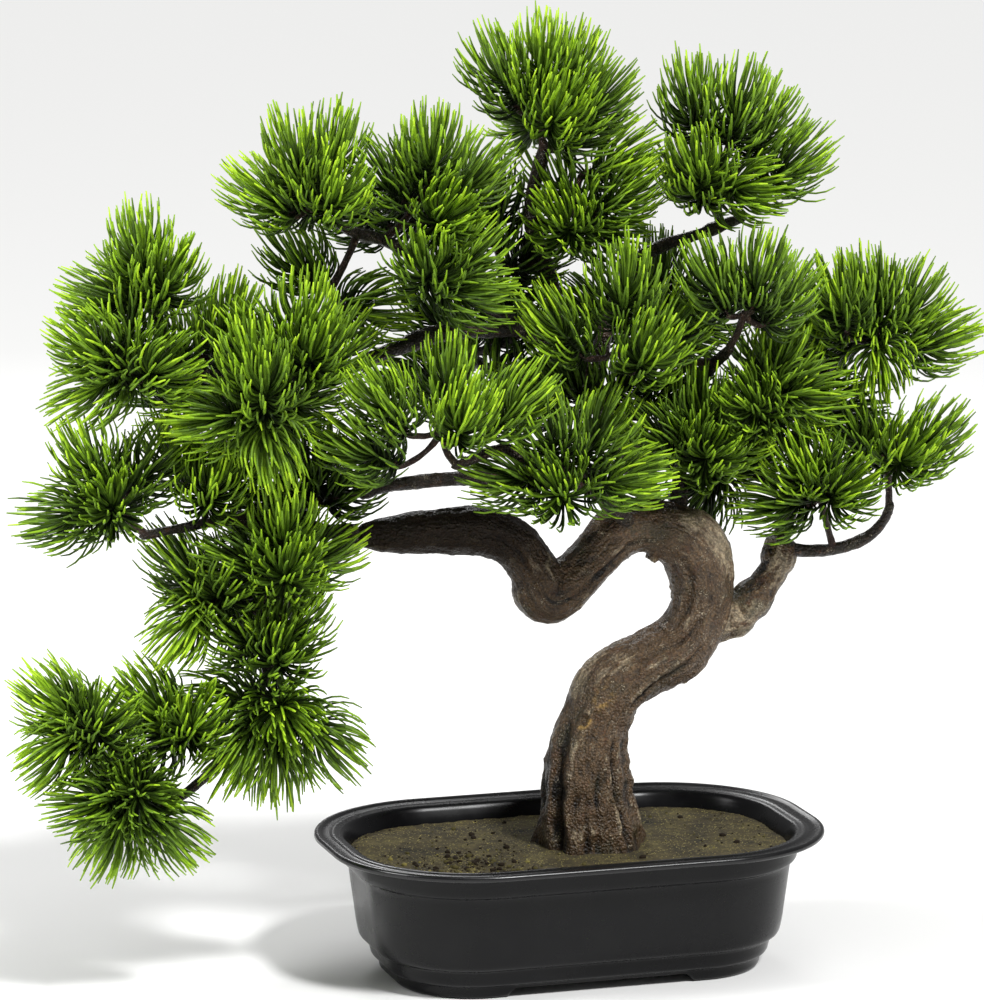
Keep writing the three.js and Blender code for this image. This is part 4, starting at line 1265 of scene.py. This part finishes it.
@dataclass
class Crown:
    """All the needles and the twigs that carry them."""

    limbs: Limbs
    habit: Habit = Habit()
    dye: Dye = Dye()
    needles_per_tuft: int = 112
    segments: int = 6
    needle_width: float = 1.62
    needle_depth: float = 1.1
    # a needle's share of its full thickness at shares of its length
    taper_at: tuple = (0, 0.2, 0.6, 0.85, 1)
    taper: tuple = (0.7, 0.95, 1, 0.88, 0.5)
    twig_sides: int = 8
    stem_radii: tuple = (2.3, 2.0, 2.5)
    fork_radii: tuple = (2.4, 1.7, 1.9, 3.1)
    short_fork_radii: tuple = (2.4, 2.2, 3.1)
    stalk_radii: tuple = (2.1, 1.9, 0.9)
    # how far a stem starts inside a bough's tip, and how long the flared neck of a tuft's socket is
    inside_tip: float = 4.0
    neck: float = 4.5
    # how far a stem sags and a fork bows, as shares of its length
    sag: float = 0.05
    bow: float = 0.12
    seed: int = 11
    # how far, in millimetres, needles reach into another mass and into another tuft, and clear a limb
    overlap: float = 6.0
    mingle: float = 11.0
    limb_clear: float = 0.9
    spaces: Spaces = field(default_factory=Spaces)

    def root_of(self, mass: Mass) -> Array:
        """Find where a mass's stem leaves its bough.

        Args:
            mass: The mass.

        Returns:
            The point on the bough.
        """
        path, _ = self.limbs.boughs[mass.host].samples()
        if mass.root is not None:
            return path[math.floor(mass.root * (len(path) - 1) + 0.5)]
        return path[np.linalg.norm(path - mass.hub, axis=1).argmin()]

    def settle(self) -> None:
        """Lay out the spaces of all the masses."""
        for number, mass in enumerate(MASSES.values()):
            hub, root = np.array(mass.hub, float), self.root_of(mass)
            for share in (0.25, 0.5, 0.75, 1):
                self.spaces.add(root + (hub - root) * share, TWIG_SPACE, number)
            for order, tuft in enumerate(mass.tufts()):
                self.spaces.add(tuft.middle, TUFT_SPACE, number, order)
                self.spaces.add(tuft.foot, FOOT_SPACE, number, order)
                self.spaces.add((tuft.foot + hub) / 2, TWIG_SPACE, number)

    def build(self) -> None:
        """Make the pieces of needles and of twigs, one of each kind on each bough."""
        self.settle()
        bark = MouldedBark(
            "moulded_twig_brown", "#1a110b", "#43302a", "#7a5a4a", sand_mm=0.5, patch_mm=9.0
        ).build()
        greens = dyed(Green)
        groups: dict[tuple[str, bool], list[int]] = {}
        for number, mass in enumerate(MASSES.values()):
            groups.setdefault((mass.host, mass.shaded), []).append(number)
        names, masses = list(MASSES), list(MASSES.values())
        rng, grit = np.random.default_rng(self.seed), Grit(83)
        twigs: dict[str, Skin] = {}
        for (host, shaded), numbers in groups.items():
            needles = Skin()
            for number in numbers:
                self.grow_twigs(twigs.setdefault(host, Skin()), masses[number], grit)
                self.grow_needles(needles, number, masses[number], rng)
            kind = "inner_needles" if shaded else "needles"
            nodes = [names[number] + "_needles" for number in numbers]
            needles.build(f"{kind}_on_{host}_bough", greens, kind, nodes)
        for host, wood in twigs.items():
            wood.build(f"twigs_on_{host}_bough", [bark, greens[1]], "twig", [])

    def grow_needles(self, skin: Skin, number: int, mass: Mass, rng: np.random.Generator) -> None:
        """Add a mass's needles, less those that leave their tuft's space or touch a limb.

        Args:
            skin: Takes the needles.
            number: The mass's number.
            mass: The mass.
            rng: The crown's seeded numbers.
        """
        limb_points, limb_radii = self.limbs.samples()
        for order, tuft in enumerate(mass.tufts()):
            path, normals, share = self.habit.draw(mass, tuft, self.needles_per_tuft, self.segments, rng)
            kept = np.ones(len(path), bool)
            for station in range(1, self.segments + 1):
                tried = path[:, station]
                kept &= self.spaces.kept(tried, number, order, self.overlap, self.mingle)
                gap = np.linalg.norm(tried[:, None] - limb_points[None], axis=2) - limb_radii[None]
                kept &= gap.min(axis=1) > self.limb_clear
            tones = self.dye.deal(mass, share[kept], self.segments, rng)
            self.shape_needles(skin, path[kept], normals[kept], tones)

    def grow_twigs(self, skin: Skin, mass: Mass, grit: Grit) -> None:
        """Add a mass's stem, its forks and the stalks of its tufts, each in a flared socket.

        Args:
            skin: Takes them.
            mass: The mass.
            grit: The noise of their bark.
        """
        hub, root = np.array(mass.hub, float), self.root_of(mass)
        sag = np.array([0, 0, -self.sag * np.linalg.norm(hub - root)])
        bough, _ = self.limbs.boughs[mass.host].samples()
        start = root
        if np.allclose(root, bough[-1]):
            # At a bough's rounded tip the stem starts inside it, so that no gap shows.
            ahead = bough[-1] - bough[-2]
            start = root - ahead / np.linalg.norm(ahead) * self.inside_tip
        self.twig(skin, [start, (root + hub) / 2 + sag, hub], self.stem_radii, grit)
        for tuft in mass.tufts():
            rise = max(1.0, float((hub - tuft.foot) @ tuft.axis) + 3)
            socket = tuft.foot + tuft.axis * rise
            neck = socket + tuft.axis * self.neck
            reach = np.linalg.norm(socket - hub)
            if reach > 5:
                bend = (hub + socket) / 2 + tuft.axis * -self.bow * reach
                route = [hub + (hub - socket) * 0.05, bend, socket, neck]
                self.twig(skin, route, self.fork_radii, grit)
            else:
                self.twig(skin, [hub, socket, neck], self.short_fork_radii, grit)
            top = tuft.foot + tuft.axis * max(STALK, rise + 8)
            self.twig(skin, [socket, (neck + top) / 2, top], self.stalk_radii, grit, 1)

    def twig(self, skin: Skin, route: list[Array], radii: tuple, grit: Grit, tone: int = 0) -> None:
        """Add one twig or stalk, with a little bark on it.

        Args:
            skin: Takes the twig.
            route: A few points that it passes through.
            radii: Its radius at places spread evenly along it.
            grit: The noise of its bark.
            tone: Number of its material.
        """
        path = smooth_path(np.array(route), 6)
        radius = np.interp(np.linspace(0, len(radii) - 1, len(path)), np.arange(len(radii)), radii)
        angle, frames = ring_angles(self.twig_sides), turning_frames(path)
        radius = radius[:, None] * np.ones_like(angle)
        bumps = grit.at(tube_points(path, frames, radius, angle), 2.6)
        points = tube_points(path, frames, radius + bumps * 0.28, angle)
        paint = bark_paint(points, np.clip(0.5 + bumps * 0.5, 0, 1))
        skin.add(points.reshape(-1, 3), tube_faces(len(path), self.twig_sides), tone, **paint)

    def shape_needles(self, skin: Skin, path: Array, normals: Array, tones: Array) -> None:
        """Give needles their three-sided body, which tapers to a blunt tip.

        Args:
            skin: Takes the needles.
            path: Each needle's points.
            normals: The direction its flat side faces at each.
            tones: The number of the green of each of its stretches.
        """
        count, rings = path.shape[0], self.segments + 1
        if not count:
            return
        wide = np.cross(normals, np.gradient(path, axis=1))
        wide /= np.linalg.norm(wide, axis=2, keepdims=True)
        taper = np.interp(np.linspace(0, 1, rings), self.taper_at, self.taper)
        corners = []
        for corner in range(3):
            angle = math.pi / 2 + corner * TURN / 3
            sideways = wide * (taper * math.cos(angle) * 1.15 * self.needle_width / 2)[None, :, None]
            deep = normals * (taper * math.sin(angle) * 1.3 * self.needle_depth / 2)[None, :, None]
            corners.append(path + sideways + deep)
        points = np.stack(corners, axis=2).reshape(-1, 3)
        first = (np.arange(count) * 3 * rings)[:, None, None]
        ring, side = np.meshgrid(np.arange(self.segments), np.arange(3), indexing="ij")
        a, b = ring * 3 + side, ring * 3 + (side + 1) % 3
        quads = np.stack([a, b, b + 3, a + 3], axis=-1).reshape(1, -1, 4) + first
        tips = np.arange(3 * rings - 3, 3 * rings)[None, None, :] + first
        walls = np.repeat(tones[:, :, None], 3, axis=2).reshape(-1)
        skin.add(points, [quads.reshape(-1, 4), tips.reshape(-1, 3)], np.concatenate([walls, tones[:, -1]]))


# The bowl and its filler


@dataclass
class Bowl:
    """The shallow oval bowl: two low feet, a stepped wall, a collar and a flat rim with a rolled lip."""

    half_length: float = 143.0
    half_width: float = 95.0
    corner: float = 80.0
    corner_steps: int = 26
    feet_from: float = 50.0
    feet_full: float = 55.0
    foot_gap: float = 5.2
    # how far each point of the wall stands in from the rim's outline, and its height: the plinth and its
    # step, the wall, the collar, the rim's edge, its two lips, and the inside down into the filler
    profile: tuple = (
        (39, 0), (37.6, 0.25), (36.7, 1.3), (36.3, 3), (36, 6.1), (35.3, 6.9), (33.9, 7.4), (32.6, 8.2),
        (31.7, 9.6), (31.1, 12), (30.3, 15.6), (29.7, 16.9), (28.5, 17.6), (27.2, 18), (26, 18.9), (25, 20.6),
        (24.3, 23), (23.4, 28), (22.1, 38), (20.7, 48), (19.5, 57.4), (19, 60.4), (18.2, 61.5), (17.2, 61.9),
        (16.3, 62.5), (15.6, 63.6), (15.1, 66), (14.6, 70.5), (14.2, 73), (13.5, 74.2), (11.8, 74.7),
        (7, 74.9), (2.6, 75), (1.1, 75.4), (0.25, 76.2), (0, 77.1), (0.25, 78.1), (0.95, 78.8), (2, 79),
        (3, 78.75), (4, 78.1), (5.2, 77.75), (8.4, 77.6), (9.2, 77.85), (10, 78.35), (11, 78.5), (12, 78.2),
        (13.2, 77.8), (14.6, 77.7), (15.8, 77.3), (16.8, 76.3), (17.8, 74.4), (18.9, 72), (20.2, 69),
        (21.4, 64), (22.6, 58),
    )

    def outline(self, inset: float, height: float) -> Array:
        """Lay out the ring of points that stands in from the rim's outline.

        Args:
            inset: How far in.
            height: How high.

        Returns:
            The ring's points, one a row.
        """
        radius = self.corner - inset
        x, y = self.half_length - self.corner, self.half_width - self.corner
        straight = np.array([self.feet_full, self.feet_from, 36, 18])
        straight = np.concatenate([straight, [0], -straight[::-1]])
        ring = []
        for number, (cx, cy) in enumerate(((x, y), (-x, y), (-x, -y), (x, -y))):
            angle = math.pi / 2 * (number + np.linspace(0, 1, self.corner_steps))
            ring += [(cx + radius * math.cos(a), cy + radius * math.sin(a), height) for a in angle]
            if number == 0:
                ring += [(s, cy + radius, height) for s in straight]
            elif number == 2:
                ring += [(-s, cy - radius, height) for s in straight]
            else:
                ring.append((cx + (radius if number == 3 else -radius), 0.0, height))
        return np.array(ring, float)

    def build(self) -> None:
        """Make the bowl."""
        rings = [self.outline(inset, height) for inset, height in self.profile]
        for ring in rings:
            # Between the feet the underside is lifted, its lowest rings a little less.
            slope = np.clip((self.feet_full - np.abs(ring[:, 0])) / (self.feet_full - self.feet_from), 0, 1)
            lifted = np.minimum(self.foot_gap, self.foot_gap * 0.9 + ring[:, 2] * 0.1)
            ring[:, 2] = np.maximum(ring[:, 2], slope * lifted)
        count = len(rings[0])
        floor = self.cap(count)
        inside = [block[:, ::-1] + (len(rings) - 1) * count for block in floor]
        skin = Skin()
        # The rim's outer lip and its inner one are rubbed.
        lips = [float(inset < 3.5 and height > 75.3 or 9 < inset < 12.5) for inset, height in self.profile]
        rubbed = np.repeat(lips, count)
        paint = np.stack([rubbed, 0 * rubbed, 0 * rubbed], axis=1)
        skin.add(np.vstack(rings), [tube_faces(len(rings), count)[0], *floor, *inside], relief=paint)
        skin.build("oval_bowl", [BlackPolypropylene().build()], "bowl", ["bowl"])

    def cap(self, count: int) -> list[Array]:
        """Close a ring straight across by strips of faces that look down.

        Args:
            count: How many points the ring has.

        Returns:
            The faces with four corners, and those with three.
        """
        left = np.arange((count - 2) // 2 - 1)
        strips = np.stack([left, count - 2 - left, count - 3 - left, left + 1], axis=1)
        middle = (count - 2) // 2
        ends = np.array([[middle - 1, middle + 1, middle], [count - 1, count - 2, 0]])
        return [strips, ends]


@dataclass
class Filler:
    """The filler in the bowl, with crumbs strewn on it."""

    bowl: Bowl
    level: float = 69.0
    inset: float = 20.6
    columns: int = 300
    rows: int = 150
    crumbs: int = 560
    seed: int = 5
    trunk_x: float = 12.0
    trunk_clear: float = 34.0
    # the middle and spread of the heap of crumbs, and how far along the bowl they lie
    heap_x: tuple[float, float] = (-66.0, 19.0)
    heap_y: tuple[float, float] = (-28.0, 17.0)
    strewn_to: float = 118.0

    def surface(self, x: Array, y: Array) -> Array:
        """Work out the filler's height.

        Args:
            x: Places along the bowl.
            y: Places from front to back.

        Returns:
            The height at each place.
        """
        grit = Grit(self.seed)
        flat = np.stack([x, y, np.zeros_like(x)], axis=-1)
        lumps = grit.at(flat, 24) * 0.5 + grit.at(flat + 31, 8) * 0.34 + grit.at(flat + 7, 2.4) * 0.24
        mound = 1.6 * np.exp(-((np.hypot(x - self.trunk_x, y * 1.1) / 44) ** 4))
        heap = 1.3 * bell(np.hypot(x + 70, (y + 30) * 1.2), 26) * (1 + grit.at(flat + 3, 4))
        return self.level + lumps + mound + heap - 0.5

    def half_depth(self, x: Array) -> Array:
        """Work out how far the filler reaches to each side.

        Args:
            x: Places along the bowl.

        Returns:
            The reach at each place.
        """
        radius = self.bowl.corner - self.inset
        past = np.maximum(0, np.abs(x) - (self.bowl.half_length - self.bowl.corner))
        return self.bowl.half_width - self.bowl.corner + np.sqrt(np.maximum(0, radius**2 - past**2))

    def build(self) -> None:
        """Make the filler's top and its crumbs."""
        reach = self.bowl.half_length - self.inset - 0.05
        x = np.sin(np.linspace(-math.pi / 2, math.pi / 2, self.columns)) * reach
        share = np.linspace(-1, 1, self.rows)
        grid_x = np.broadcast_to(x[:, None], (self.columns, self.rows))
        grid_y = self.half_depth(x)[:, None] * share[None, :]
        points = np.stack([grid_x, grid_y, self.surface(grid_x, grid_y)], axis=-1).reshape(-1, 3)
        column, row = np.meshgrid(np.arange(self.columns - 1), np.arange(self.rows - 1), indexing="ij")
        a = (column * self.rows + row).ravel()
        top = Skin()
        top.add(points, [np.stack([a, a + self.rows, a + self.rows + 1, a + 1], axis=1)])
        top.build("filler_top", [FlockedFiller().build()], "soil", ["soil"])
        self.strew()

    def strew(self) -> None:
        """Make the crumbs: small angular lumps, thickest to the left of the trunk."""
        rng = np.random.default_rng(self.seed)
        golden = (1 + math.sqrt(5)) / 2
        corners = [(0, a, b * golden) for a in (-1, 1) for b in (-1, 1)]
        corners = np.array([np.roll(c, k) for k in range(3) for c in corners], float) / 1.9
        near = np.linalg.norm(corners[:, None] - corners[None], axis=2) < 1.2
        faces = []
        for a, b, c in ((a, b, c) for a in range(12) for b in range(a + 1, 12) for c in range(b + 1, 12)):
            if near[a, b] and near[b, c] and near[a, c]:
                normal = np.cross(corners[b] - corners[a], corners[c] - corners[a])
                faces.append((a, b, c) if normal @ corners[a] > 0 else (a, c, b))
        skin = Skin()
        for number in range(self.crumbs):
            heap = number % 5 < 3
            x = rng.normal(*self.heap_x) if heap else rng.uniform(-self.strewn_to, self.strewn_to)
            reach = float(self.half_depth(np.array([x]))[0]) - 4
            y = rng.normal(*self.heap_y) if heap else rng.uniform(-reach, reach)
            by_trunk = math.hypot(x - self.trunk_x, y) < self.trunk_clear
            if by_trunk or abs(y) > reach or abs(x) > self.strewn_to:
                continue
            size = rng.uniform(0.35, 0.9) * (2.6 if number % 6 == 0 else 1.0)
            lump = corners * rng.uniform(0.6, 1.35, (12, 1)) * size * [1, 1, 0.75]
            height = float(self.surface(np.array([x]), np.array([y]))[0])
            tone = int(rng.choice(3, p=[0.62, 0.3, 0.08]))
            skin.add(lump + [x, y, height + 0.2 * size], [np.array(faces)], tone)
        skin.build("filler_crumbs", dyed(Crumb), "soil", [])


# The studio


@dataclass(frozen=True)
class Studio:
    """A pale floor, soft lights and a camera where the photograph was taken from."""

    azimuth: float = -17.3
    elevation: float = 10.4
    distance: float = 3000.0
    aim_right: float = -43.9
    aim_height: float = 267.6
    lens: float = 192.9
    floor_half: float = 14.0
    floor_gap: float = 0.0004

    def direction(self, azimuth: float, elevation: float) -> Array:
        """Return the direction from the plant to a place round it, with the viewed front at azimuth 0."""
        a, e = math.radians(azimuth), math.radians(elevation)
        return np.array([math.sin(a) * math.cos(e), -math.cos(a) * math.cos(e), math.sin(e)])

    def light(
        self, kind: str, name: str, azimuth: float, elevation: float, energy: float, **settings: float
    ) -> None:
        """Add one soft light that faces the plant.

        Args:
            kind: Blender's name for the type of light.
            name: The light's name.
            azimuth: Where it stands round the plant, in degrees to the right of the viewed front.
            elevation: How high it stands, in degrees.
            energy: Its strength.
            settings: Its size or angle.
        """
        data = bpy.data.lights.new(name, kind)
        data.energy = energy
        for key, value in settings.items():
            setattr(data, key, value)
        away = self.direction(azimuth, elevation)
        lamp = placed(name, data)
        lamp.rotation_euler = Vector(away).to_track_quat("Z", "Y").to_euler()
        lamp.location = Vector(away * 2.0) + Vector((0, 0, 0.25))
        lamp.visible_camera = False

    def build(self) -> None:
        """Make the floor, the lights, the world and the camera."""
        scene = bpy.context.scene
        scene.view_settings.view_transform = "Standard"
        self.lay_floor()
        world = bpy.data.worlds.new("studio_white")
        scene.world = world
        world.use_nodes = True
        sky = world.node_tree.nodes["Background"]
        sky.inputs["Color"].default_value = linear("#ffffff")
        sky.inputs["Strength"].default_value = 0.25
        self.light("SUN", "key", 20, 50, 3.1, angle=math.radians(9))
        self.light("AREA", "side", -88, 32, 28, size=0.6)
        self.light("AREA", "top", 20, 78, 10, size=1.0)
        self.light("AREA", "back", 172, 26, 6, size=0.5)
        self.place_camera()

    def lay_floor(self) -> None:
        """Make the floor."""
        half = self.floor_half
        mesh = bpy.data.meshes.new("floor")
        corners = [(-half, -half, 0), (half, -half, 0), (half, half, 0), (-half, half, 0)]
        mesh.from_pydata(corners, [], [(0, 1, 2, 3)])
        paper = Shader.named("floor_paper_white").finish(Base_Color=linear("#f0f0ef"), Roughness=0.9)
        mesh.materials.append(paper)
        floor = placed("floor", mesh)
        floor.location = (0, 0, -self.floor_gap)

    def place_camera(self) -> None:
        """Set up the camera."""
        back = self.direction(self.azimuth, self.elevation)
        azimuth = math.radians(self.azimuth)
        right = np.array([math.cos(azimuth), math.sin(azimuth), 0])
        place = (right * self.aim_right + [0, 0, self.aim_height] + back * self.distance) * MM + BOWL_MIDDLE
        data = bpy.data.cameras.new("camera")
        data.lens, data.sensor_width = self.lens, 36.0
        data.clip_start, data.clip_end = 0.1, 40
        camera = placed("camera", data)
        turn = np.eye(4)
        turn[:3] = np.stack([right, np.cross(back, right), back, place], axis=1)
        camera.matrix_world = Matrix(turn.tolist())
        bpy.context.scene.camera = camera


def main() -> None:
    """Build the plant piece by piece, then the studio."""
    logging.basicConfig(level=logging.INFO, format="%(name)s: %(message)s")
    limbs = Limbs()
    limbs.build()
    Crown(limbs).build()
    bowl = Bowl()
    bowl.build()
    Filler(bowl).build()
    Studio().build()


if __name__ == "__main__":
    main()
